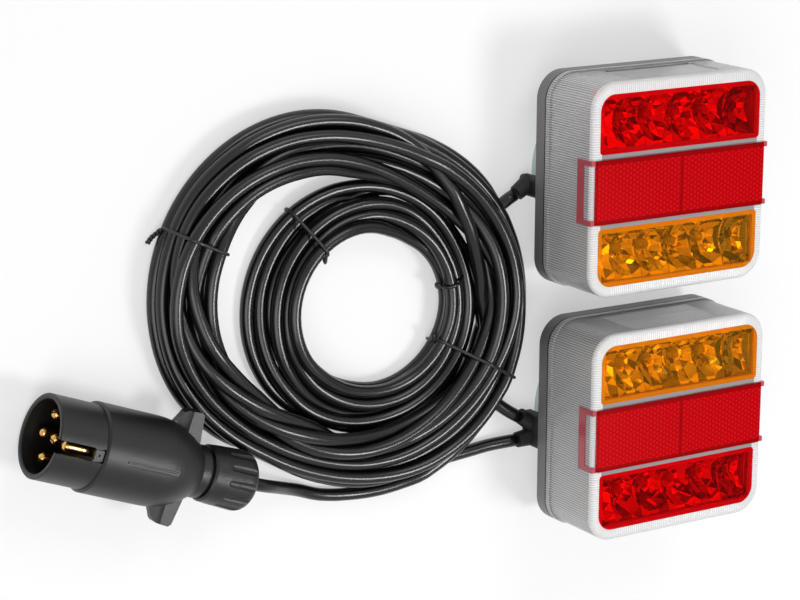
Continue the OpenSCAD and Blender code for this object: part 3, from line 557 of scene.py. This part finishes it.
def hull(points):
    points = sorted(set((round(float(a), 4), round(float(b), 4)) for a, b in points))

    def half(ordered):
        kept = []
        for p in ordered:
            while len(kept) > 1 and ((kept[-1][0] - kept[-2][0]) * (p[1] - kept[-2][1])
                                     - (kept[-1][1] - kept[-2][1]) * (p[0] - kept[-2][0])) <= 0:
                kept.pop()
            kept.append(p)
        return kept

    return np.array(half(points)[:-1] + half(points[::-1])[:-1])


def crossing(lines, middle, heading, span):
    """Where strands pass the upright plane from middle along heading, as (reach, height)."""
    found = []
    ahead = np.array([math.cos(heading), math.sin(heading)])
    side = np.array([-ahead[1], ahead[0]])
    for line in lines:
        flat = line[:, :2] - middle
        over = flat @ side
        reach = flat @ ahead
        for i in np.nonzero(over[:-1] * over[1:] < 0)[0]:
            t = over[i] / (over[i] - over[i + 1])
            r = reach[i] * (1 - t) + reach[i + 1] * t
            if span[0] < r < span[1]:
                found.append((r, line[i, 2] * (1 - t) + line[i + 1, 2] * t))
    return np.array(found), ahead


def wire_tie(name, lines, middle, heading, span, tail, replaced):
    """A loop round the strands that cross the plane, with a twisted tail at one end."""
    found, ahead = crossing(lines, np.array(middle), heading, span)
    angle = np.linspace(0, 2 * math.pi, 12, endpoint=False)
    reach = CABLE_R + TIE_R + 0.1
    around = np.vstack([found + reach * np.array([math.cos(a), math.sin(a)]) for a in angle])
    around[:, 1] = np.maximum(around[:, 1], TIE_R + 0.05)
    loop = hull(around)
    loop = np.vstack([loop, loop[:1]])
    run = np.concatenate([[0], np.cumsum(np.linalg.norm(np.diff(loop, axis=0), axis=1))])
    along = np.linspace(0, run[-1], max(int(run[-1] / 0.8), 24))
    loop = np.stack([np.interp(along, run, loop[:, i]) for i in (0, 1)], 1)[:-1]
    for _ in range(10):
        loop = loop + 0.25 * (np.roll(loop, 1, 0) + np.roll(loop, -1, 0) - 2 * loop)
    # The loop starts and ends at its knot, and both ends twist together in a tail
    start = int(np.argmax(loop @ np.array([tail[0], 0.04])))
    loop = np.roll(loop, -start, axis=0)
    room = np.stack([middle[0] + loop[:, 0] * ahead[0], middle[1] + loop[:, 0] * ahead[1], loop[:, 1]], 1)
    lean = np.array([-ahead[1], ahead[0], 0])
    room += np.linspace(-0.7, 0.7, len(room))[:, None] * lean
    room[:, 2] = np.maximum(room[:, 2], TIE_R)
    knot = (room[0] + room[-1]) / 2
    away = np.array([ahead[0] * tail[0], ahead[1] * tail[0], 0.0])
    t = np.linspace(0, 1, 26)[:, None]
    path = knot + away * TAIL_REACH * t + (lean * tail[1] + np.array([0, 0, tail[2]])) * t
    path[:, 2] = np.maximum(path[:, 2], TIE_R * 1.6)
    verts, faces = [], []

    def add(part):
        base = sum(len(v) for v in verts)
        verts.append(part[0])
        faces.extend(tuple(i + base for i in f) for f in part[1])

    add(tube(room, TIE_R, 10))
    for phase in (0, math.pi):
        spin = t[:, 0] * 2 * math.pi * TWISTS + phase
        round_path = np.cos(spin)[:, None] * away + np.sin(spin)[:, None] * np.array([0, 0, 1.0])
        strand = path + TWIST_R * round_path
        strand[:, 2] = np.maximum(strand[:, 2], TIE_R)
        add(tube(strand, TIE_R * 0.85, 8))
    tie = piece(name, np.vstack(verts), faces, tie_plastic)
    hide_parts(replaced)
    return tie


def coil_spot(x):
    spot = to_room(np.array([[x, 0.0, 0.0]]))[0]
    return spot[0], spot[1]


for name, lines, at, turned, span_along, tail in [
    ("tie_left", [main_line], -END_X, 180, (40, 86), (1, 8, -5)),
    ("tie_right", [main_line, small_line], END_X, -4, (28, 90), (-1, 2, 1.5)),
    ("tie_inner_left", [small_line], SMALL_SHIFT - SMALL_HALF, 151, (26, 62), (-1, 3, 1)),
    ("tie_inner_right", [small_line], SMALL_SHIFT + SMALL_HALF, 40, (26, 46), (-1, 3, 1)),
]:
    wire_tie(name, lines, coil_spot(at), COIL_TURN + math.radians(turned), span_along, tail,
                         "coil_" + name)


# Lamp housings. Clear acrylic moulded with fine upright flutes on its sides, a ribbed
# rim round the face and a smooth window for the number plate, welded to a grey base.
FLUTE_PITCH = 1.167
CORNER_R = 13.0
HALF_W = 51.5
HALF_H = 51.0
LAMP_PITCH = 120.0
LAMP_SHIFT = 2.0
LENS_TOP = 58.7
RIM_W = 5.6
RIM_DEPTH = 2.2
PLATE_HALF_W = 26.0
PLATE_HALF_H = 13.7
PLATE_Z = 42.2
BAR_HALF_H = 17.6
BAR_DEPTH = 2.6
SIDE_DEPTH = 3.0


def lamp_place(tree):
    """A point's X and Y from the middle of its own lamp, and its height, in millimetres."""
    place = node(tree, "ShaderNodeSeparateXYZ", None,
                 {0: node(tree, "ShaderNodeTexCoord").outputs["Object"]})
    x, y, z = (math_node(tree, "MULTIPLY", place.outputs[i], 1000.0) for i in range(3))
    side = math_node(tree, "SIGN", y)
    x = math_node(tree, "ADD", x, math_node(tree, "MULTIPLY", side, LAMP_SHIFT))
    y = math_node(tree, "SUBTRACT", math_node(tree, "ABSOLUTE", y), LAMP_PITCH / 2)
    return x, math_node(tree, "MULTIPLY", y, side), z


clear_acrylic, tree = material("moulded_clear_acrylic")
x, y, z = lamp_place(tree)
ax, ay = math_node(tree, "ABSOLUTE", x), math_node(tree, "ABSOLUTE", y)
px = math_node(tree, "MINIMUM", ax, HALF_W - CORNER_R)
py = math_node(tree, "MINIMUM", ay, HALF_H - CORNER_R)
dx = math_node(tree, "SUBTRACT", ax, px)
dy = math_node(tree, "SUBTRACT", ay, py)
# Distance along the outline: straight parts and the corner's arc together
arc = math_node(tree, "MULTIPLY", math_node(tree, "ARCTAN2", dy, dx), CORNER_R)
run = math_node(tree, "ADD", arc, math_node(tree, "SUBTRACT", py, px))
wave = math_node(tree, "COSINE", math_node(tree, "MULTIPLY", run, 2 * math.pi / FLUTE_PITCH))
radial = math_node(tree, "SQRT", math_node(tree, "ADD", math_node(tree, "MULTIPLY", dx, dx),
                                           math_node(tree, "MULTIPLY", dy, dy)))
edge_zone = math_node(tree, "GREATER_THAN", radial, CORNER_R - RIM_W)
# The number-plate window is smooth
beside = math_node(tree, "GREATER_THAN", ax, PLATE_HALF_W)
off_height = math_node(tree, "ABSOLUTE", math_node(tree, "SUBTRACT", z, PLATE_Z))
beyond = math_node(tree, "LESS_THAN", math_node(tree, "SUBTRACT", PLATE_HALF_H, off_height), 0.0)
on_x_wall = math_node(tree, "GREATER_THAN", ax, HALF_W - SIDE_DEPTH)
fluted = math_node(tree, "ADD", beside, math_node(tree, "ADD", beyond, on_x_wall))
zone = math_node(tree, "MULTIPLY", math_node(tree, "MINIMUM", 1.0, fluted), edge_zone)
ridge = math_node(tree, "MULTIPLY", math_node(tree, "ADD", math_node(tree, "MULTIPLY", wave, 0.5), 0.5), zone)
on_rim = math_node(tree, "MULTIPLY", zone, math_node(tree, "GREATER_THAN", z, LENS_TOP - RIM_DEPTH))
# Flutes scatter light, most of all on the rim round the face
bar = math_node(tree, "MULTIPLY", math_node(tree, "LESS_THAN", ay, BAR_HALF_H),
                math_node(tree, "GREATER_THAN", z, LENS_TOP - BAR_DEPTH))
milky = math_node(tree, "ADD", math_node(tree, "MULTIPLY", zone, 0.5),
                  math_node(tree, "MULTIPLY", on_rim, 0.26))
milky = math_node(tree, "MAXIMUM", milky, math_node(tree, "MULTIPLY", bar, 0.6))
finish(tree, {"IOR": 1.49}, {
    "Base Color": shade(tree, shade(tree, "#b4b1b2", "#dddcdc", on_rim), "#fdfdfd", ridge),
    "Transmission Weight": math_node(tree, "SUBTRACT", 0.96, milky),
    "Roughness": math_node(tree, "ADD", math_node(tree, "MULTIPLY", zone, 0.12), 0.03),
    "Normal": bump(tree, math_node(tree, "MULTIPLY", wave, zone), 0.375, 0.0003)})

# Window acrylic, moulded in one shot with the housing: clear in the middle and cloudier
# in the thick frame round each window
WINDOW_Y = 31.5
WINDOW_HALF_W = 47.0
WINDOW_HALF_H = 14.0
FRAME_W = 2.4


def tinted_acrylic(name, colour, deep):
    made, tree = material(name)
    x, y, z = lamp_place(tree)
    off_row = math_node(tree, "SUBTRACT", math_node(tree, "ABSOLUTE", y), WINDOW_Y)
    past_x = math_node(tree, "SUBTRACT", math_node(tree, "ABSOLUTE", x), WINDOW_HALF_W - FRAME_W)
    past_y = math_node(tree, "SUBTRACT", math_node(tree, "ABSOLUTE", off_row), WINDOW_HALF_H - FRAME_W)
    frame_edge = node(tree, "ShaderNodeMapRange", {"From Min": -0.3, "From Max": 0.3},
                      {"Value": math_node(tree, "MAXIMUM", past_x, past_y)})
    in_frame = frame_edge.outputs["Result"]
    finish(tree, {"Roughness": 0.02, "IOR": 1.49, "Specular IOR Level": 0.3},
           {"Base Color": shade(tree, colour, deep, in_frame),
            "Transmission Weight": span(tree, 0.97, 0.5, in_frame)})
    return made


red_acrylic = tinted_acrylic("moulded_red_acrylic", "#ff1018", "#e40410")
amber_acrylic = tinted_acrylic("moulded_amber_acrylic", "#ffbc30", "#f59010")

# Reflex pane: red acrylic whose back is moulded in small corner prisms, with their glints painted as a paler
# red in the prisms' pattern, a plain seam in the middle, plain strips along its long sides in a darker red
# without the painted glints, and thin, paler legs
PRISM_PITCH = 2.0
REFLEX_HALF_H = 15.25
SEAM_HALF_W = 0.6
STRIP_W = 2.2
LEGS_FROM = 49.8
LEG_TOP = LENS_TOP + 0.6
reflex_acrylic, tree = material("prismatic_red_acrylic")
x, y, z = lamp_place(tree)
waves = None
for slant in (0.0, 60.0, 120.0):
    across = math_node(tree, "ADD", math_node(tree, "MULTIPLY", x, math.cos(math.radians(slant))),
                       math_node(tree, "MULTIPLY", y, math.sin(math.radians(slant))))
    wave = math_node(tree, "COSINE", math_node(tree, "MULTIPLY", across, 2 * math.pi / PRISM_PITCH))
    waves = wave if waves is None else math_node(tree, "ADD", waves, wave)
# The prisms' pattern runs from dark red to a paler red: painted glints of the prisms
painted_prism_glint = node(tree, "ShaderNodeMapRange", {"From Min": -1.0, "From Max": 2.2}, {"Value": waves})
ax, ay = math_node(tree, "ABSOLUTE", x), math_node(tree, "ABSOLUTE", y)
leg = math_node(tree, "MULTIPLY", math_node(tree, "GREATER_THAN", ax, LEGS_FROM),
                math_node(tree, "LESS_THAN", z, LEG_TOP))
plain = math_node(tree, "MAXIMUM", math_node(tree, "LESS_THAN", ax, SEAM_HALF_W),
                  math_node(tree, "GREATER_THAN", ay, REFLEX_HALF_H - STRIP_W))
face = shade(tree, "#c8000a", "#f20c18", painted_prism_glint.outputs["Result"])
face = shade(tree, face, "#ac0008", plain)
finish(tree, {"Roughness": 0.12, "IOR": 1.49, "Transmission Weight": 0.3, "Specular IOR Level": 0.3},
       {"Base Color": shade(tree, face, "#d4606a", leg)})

# Base and seal: grey moulded ABS, and a black rubber ring in the seam
grey_abs = grained("moulded_grey_abs", "#686566", "#747172", 1600.0, 2.0,
                   {"Roughness": 0.42, "IOR": 1.54}, 0.15)
black_rubber = grained("moulded_black_rubber", "#0e0e0f", "#171718", 900.0, 3.0,
                       {"Roughness": 0.6, "IOR": 1.52}, 0.2)


def dress(name, material):
    mesh = nodes[name].data
    mesh.materials.clear()
    mesh.materials.append(material)


for side in ("left", "right"):
    dress(f"{side}_lens", clear_acrylic)
    dress(f"{side}_red_window", red_acrylic)
    dress(f"{side}_amber_window", amber_acrylic)
    dress(f"{side}_reflex_reflector", reflex_acrylic)
    dress(f"{side}_base", grey_abs)
    dress(f"{side}_seal", black_rubber)
    dress(f"{side}_cable_boot", black_rubber)


# Inside the lamps. A metallised tray with eight faceted bowls, clear diodes on a white
# board under it, zinc-plated screws, and a small board of chips behind the plate window.
TRAY_TOP = 51.7
BOWL_BOTTOM = 38.5
BOWL_PITCH = 16.3
BOWL_Y = 31.5
BOWL_HALF_H = 13.2
BOWL_SECTORS = 12
BOWLS_HALF_W = 47.0
LED_HOLE_R = 3.2
TRAY_HALF_W = 48.7
TRAY_HALF_H = 48.2
TRAY_CORNER_R = 10.5
TRAY_WALL = 0.8
# Rings of a bowl's facets: radius, rise from the bottom and turn, in sectors
BOWL_RINGS = [(LED_HOLE_R, 0, 0), (5.8, 0.14, 0.5), (8.8, 0.42, 0), (12.4, 0.88, 0.5), (16.5, 1, 0)]
# The end bowls are shallower. Draws up to the first share are satin, past the second a darker metal with
# painted dark reflections
END_BOWL_DEPTH = 0.55
SATIN_UNDER, PAINTED_DARK_OVER = 0.32, 0.74


def metallised(name, colour, smoothest, roughest, scale):
    made, tree = material(name)
    finish(tree, {"Base Color": linear(colour), "Metallic": 1.0},
           {"Roughness": span(tree, smoothest, roughest, noise(tree, scale))})
    return made


# Some facets get a darker metal colour, a painted dark reflection of the surroundings
vacuum_metal = metallised("vacuum_metallised_abs", "#dfe0e2", 0.04, 0.12, 120.0)
satin_metal = metallised("satin_metallised_abs", "#e6e6e8", 0.45, 0.55, 200.0)
painted_dark_metal = metallised("metallised_abs_painted_dark", "#7c7876", 0.06, 0.16, 120.0)


def faceted_bowl(east, closed):
    """One bowl about the origin: rings of flat facets, cut to its own cell."""
    bowl = bmesh.new()
    depth = TRAY_TOP - BOWL_BOTTOM
    made = []
    for r, rise, phase in BOWL_RINGS:
        angles = [2 * math.pi * (k + phase) / BOWL_SECTORS for k in range(BOWL_SECTORS)]
        made.append(([bowl.verts.new((r * math.cos(a), r * math.sin(a), BOWL_BOTTOM + depth * rise))
                      for a in angles], phase))
    for (low, low_phase), (high, high_phase) in zip(made, made[1:]):
        for k in range(BOWL_SECTORS):
            m = (k + 1) % BOWL_SECTORS
            if low_phase < high_phase:
                bowl.faces.new((low[k], low[m], high[k]))
                bowl.faces.new((low[m], high[m], high[k]))
            else:
                bowl.faces.new((low[k], high[m], high[k]))
                bowl.faces.new((low[k], low[m], high[m]))
    if closed:
        bowl.faces.new(made[0][0])
    for at, out in (((east, 0, 0), (1, 0, 0)), ((-BOWL_PITCH / 2, 0, 0), (-1, 0, 0)),
                    ((0, BOWL_HALF_H, 0), (0, 1, 0)), ((0, -BOWL_HALF_H, 0), (0, -1, 0))):
        bmesh.ops.bisect_plane(bowl, geom=bowl.verts[:] + bowl.edges[:] + bowl.faces[:],
                               plane_co=at, plane_no=out, clear_outer=True)
    bowl.verts.index_update()
    points = [tuple(v.co) for v in bowl.verts]
    polygons = [tuple(v.index for v in f.verts) for f in bowl.faces]
    bowl.free()
    return points, polygons


def tray_piece(name, centre, turned, replaced):
    verts, faces = [], []

    def add(points, polygons):
        base = len(verts)
        verts.extend(points)
        faces.extend(tuple(i + base for i in f) for f in polygons)

    open_bowl = faceted_bowl(BOWL_PITCH / 2, False)
    end_bowl = faceted_bowl(BOWLS_HALF_W - 2.5 * BOWL_PITCH, True)
    for row in (-1, 1):
        for i in (-2.5, -1.5, -0.5, 0.5, 1.5, 2.5):
            points, polygons = end_bowl if abs(i) > 2 else open_bowl
            shallow = END_BOWL_DEPTH if abs(i) > 2 else 1
            flip = -1 if i < -2 else 1
            add([(x * flip + i * BOWL_PITCH, y * row + row * BOWL_Y, TRAY_TOP - (TRAY_TOP - z) * shallow)
                 for x, y, z in points], polygons if row * flip > 0 else [f[::-1] for f in polygons])
    # The plate round the bowls: flat strips beside two long cut-outs, with round corners
    w, h, r = TRAY_HALF_W, TRAY_HALF_H, TRAY_CORNER_R
    bx, b0, b1 = BOWLS_HALF_W, BOWL_Y - BOWL_HALF_H, BOWL_Y + BOWL_HALF_H
    plate_from = len(faces)
    corner = [(w - r + r * math.cos(a), h - r + r * math.sin(a)) for a in np.linspace(0, math.pi / 2, 9)]
    kept = [(x, y) for x, y in corner if y < b1]
    over = [(x, y) for x, y in corner if y >= b1]
    reach = math.sqrt(r * r - (b1 - h + r) ** 2) + w - r
    for row in (-1, 1):
        for side in (-1, 1):
            flank = [(bx, b0), (w, b0)] + kept + [(reach, b1), (bx, b1)]
            ordered = [(x * side, y * row, TRAY_TOP) for x, y in flank]
            add(ordered if side * row > 0 else ordered[::-1], [tuple(range(len(flank)))])
        head = [(reach, b1)] + over + [(-x, y) for x, y in over[::-1]] + [(-reach, b1)]
        ordered = [(x, y * row, TRAY_TOP) for x, y in head]
        add(ordered if row > 0 else ordered[::-1], [tuple(range(len(head)))])
    add([(-w, -b0, TRAY_TOP), (w, -b0, TRAY_TOP), (w, b0, TRAY_TOP), (-w, b0, TRAY_TOP)], [(0, 1, 2, 3)])
    sign = -1 if turned else 1
    placed = [(x * sign + centre[0], y * sign + centre[1], z) for x, y, z in verts]
    tray = piece(name, placed, faces, vacuum_metal, smooth=False)
    tray.data.materials.append(satin_metal)
    tray.data.materials.append(painted_dark_metal)
    for i, draw in enumerate(np.random.default_rng(5).random(len(faces))):
        satin = draw < SATIN_UNDER or i >= plate_from
        # Facets past the second share get the darker metal: painted dark reflections
        tray.data.polygons[i].material_index = 1 if satin else 2 if draw > PAINTED_DARK_OVER else 0
    wall = tray.modifiers.new("wall", "SOLIDIFY")
    wall.thickness = TRAY_WALL * MM
    wall.offset = -1
    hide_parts(replaced)


tray_piece("left_faceted_tray", (-LAMP_SHIFT, LAMP_PITCH / 2), False, "left_reflector_tray")
tray_piece("right_faceted_tray", (LAMP_SHIFT, -LAMP_PITCH / 2), True, "right_reflector_tray")

clear_epoxy = grained("cast_clear_epoxy", "#f4f1ea", "#e6e0d2", 400.0, 2.0,
                      {"Roughness": 0.05, "IOR": 1.52, "Transmission Weight": 0.6})

board_mask, tree = material("solder_masked_board")
track = node(tree, "ShaderNodeTexBrick", {"Scale": 90.0, "Mortar Size": 0.02, "Color1": linear("#dfe4df"),
                                          "Color2": linear("#d3d9d3"), "Mortar": linear("#b9c4ba")},
             {"Vector": node(tree, "ShaderNodeTexCoord").outputs["Object"]})
finish(tree, {"Roughness": 0.35, "IOR": 1.5}, {"Base Color": track.outputs["Color"]})

zinc_plate, tree = material("zinc_plated_steel")
cloud = noise(tree, 60.0, 3.0)
finish(tree, {"Metallic": 1.0}, {"Base Color": shade(tree, "#c3d2d1", "#aebfc0", cloud),
                                 "Roughness": span(tree, 0.2, 0.34, cloud)})

ferrite = grained("ground_ferrite", "#2c2c2f", "#3d3d41", 1200.0, 3.0, {"Roughness": 0.5, "IOR": 2.3}, 0.2)
dark_board = grained("dark_solder_mask", "#34383a", "#4a4e50", 300.0, 2.0, {"Roughness": 0.4, "IOR": 1.5})
white_chip = grained("silicone_on_ceramic", "#f6f6e2", "#eeeecb", 500.0, 2.0, {"Roughness": 0.3, "IOR": 1.45})

for side in ("left", "right"):
    dress(f"{side}_red_leds", clear_epoxy)
    dress(f"{side}_amber_leds", clear_epoxy)
    dress(f"{side}_circuit_board", board_mask)
    dress(f"{side}_lens_screws", zinc_plate)
    dress(f"{side}_magnet_cup", zinc_plate)
    dress(f"{side}_magnet_screw", zinc_plate)
    dress(f"{side}_magnet_nut", zinc_plate)
    dress(f"{side}_magnet_ring", ferrite)
dress("plate_board", dark_board)
dress("plate_leds", white_chip)


# Plug. Black glass-filled nylon shells with a fine spark texture, turned brass pins and
# a fluted gland nut.
PLUG_AXIS_TURN = math.radians(-20.56)

sparked_nylon, tree = material("sparked_black_nylon")
cloud = noise(tree, 40.0)
finish(tree, {"IOR": 1.53}, {"Base Color": shade(tree, "#0c0c0d", "#121213", cloud),
                             "Roughness": span(tree, 0.36, 0.44, cloud),
                             "Normal": bump(tree, noise(tree, 3600.0, 1.0), 0.5, 0.0001)})

turned_brass, tree = material("turned_brass")
lathe = node(tree, "ShaderNodeMapping", {"Rotation": (0, 0, -PLUG_AXIS_TURN), "Scale": (1600, 60, 60)},
             {"Vector": node(tree, "ShaderNodeTexCoord").outputs["Object"]})
rings = node(tree, "ShaderNodeTexNoise", {"Scale": 1.0, "Detail": 2.0}, {"Vector": lathe.outputs[0]})
finish(tree, {"Metallic": 1.0}, {"Base Color": shade(tree, "#e0a95a", "#f0c680", rings.outputs["Fac"]),
                                 "Roughness": span(tree, 0.12, 0.26, rings.outputs["Fac"])})

for name in ("plug_sleeve", "plug_shell_left", "plug_shell_right", "plug_cable_clamp", "gland_nut"):
    dress(name, sparked_nylon)
for i in range(1, 8):
    dress(f"plug_pin_{i}", turned_brass)
dress("plug_terminal_screws", zinc_plate)
dress("gland_seal", black_rubber)


# Studio. A pale table, a small key light, a large soft fill from the left and a wide one
# from behind.
FLOOR_HALF = 4.0
FLOOR_DROP = 0.2
floor_mesh = bpy.data.meshes.new("floor")
floor_mesh.from_pydata([(-FLOOR_HALF, -FLOOR_HALF, 0), (FLOOR_HALF, -FLOOR_HALF, 0),
                        (FLOOR_HALF, FLOOR_HALF, 0), (-FLOOR_HALF, FLOOR_HALF, 0)], [], [(0, 1, 2, 3)])
floor = bpy.data.objects.new("floor", floor_mesh)
floor.location.z = -FLOOR_DROP * MM
bpy.context.scene.collection.objects.link(floor)
paper, tree = material("white_paper")
seen = node(tree, "ShaderNodeLightPath").outputs
direct = math_node(tree, "MAXIMUM", seen["Is Camera Ray"],
                   math_node(tree, "MAXIMUM", seen["Is Glossy Ray"], seen["Is Transmission Ray"]))
fibre = shade(tree, "#f7f7f7", "#f9f9f9", noise(tree, 900.0))
table = node(tree, "ShaderNodeBsdfDiffuse", None, {"Color": fibre})
glow = node(tree, "ShaderNodeEmission", {"Color": linear("#fafafa"), "Strength": 1.0})
blend = node(tree, "ShaderNodeMixShader", None, {0: math_node(tree, "MULTIPLY", direct, 0.5),
                                                 1: table.outputs[0], 2: glow.outputs[0]})
node(tree, "ShaderNodeOutputMaterial", None, {"Surface": blend.outputs[0]})
floor_mesh.materials.append(paper)


def soft_light(name, at, aim, width, height, watts):
    data = bpy.data.lights.new(name, "AREA")
    data.shape = "RECTANGLE"
    data.size = width
    data.size_y = height
    data.energy = watts
    light = bpy.data.objects.new(name, data)
    bpy.context.scene.collection.objects.link(light)
    light.location = at
    light.rotation_euler = (Vector(aim) - Vector(at)).to_track_quat("-Z", "Y").to_euler()


soft_light("key", (0.38, -0.33, 1.2), (-0.16, 0.01, 0), 0.34, 0.34, 8)
soft_light("fill", (-0.85, -0.3, 1.1), (-0.13, 0, 0), 0.9, 0.9, 6.5)
soft_light("back", (0.1, 0.95, 1.0), (-0.1, 0, 0), 0.7, 0.5, 3.5)

# The surround: even and pale, brighter through the lenses and in what shines, with a
# dark flag where the flat windows would mirror it
SURROUND = 0.37
LIFT_THROUGH = 0.75
LIFT_MIRRORED = 0.3
FLAG_SIDE = (0.625, -0.235, 0.745)
FLAG_EDGE = (0.94, 0.98)
FLAG_DEPTH = 0.64
world = bpy.data.worlds.new("studio")
bpy.context.scene.world = world
world.use_nodes = True
tree = world.node_tree
tree.nodes.clear()
seen = node(tree, "ShaderNodeLightPath").outputs
heading = node(tree, "ShaderNodeVectorMath", {"operation": "DOT_PRODUCT", 1: FLAG_SIDE},
               {0: node(tree, "ShaderNodeTexCoord").outputs["Generated"]})
flag = node(tree, "ShaderNodeMapRange",
            {"From Min": FLAG_EDGE[0], "From Max": FLAG_EDGE[1], "To Max": FLAG_DEPTH},
            {"Value": heading.outputs["Value"]})
shaded = math_node(tree, "MULTIPLY", seen["Is Glossy Ray"], flag.outputs["Result"])
lifted = math_node(tree, "ADD", math_node(tree, "MULTIPLY", seen["Is Transmission Ray"], LIFT_THROUGH),
                   math_node(tree, "MULTIPLY", seen["Is Glossy Ray"], LIFT_MIRRORED))
strength = math_node(tree, "SUBTRACT", math_node(tree, "ADD", lifted, SURROUND), shaded)
sky = node(tree, "ShaderNodeBackground", {"Color": (1, 1, 1, 1)}, {"Strength": strength})
node(tree, "ShaderNodeOutputWorld", None, {"Surface": sky.outputs[0]})
bpy.context.scene.view_settings.view_transform = "Standard"
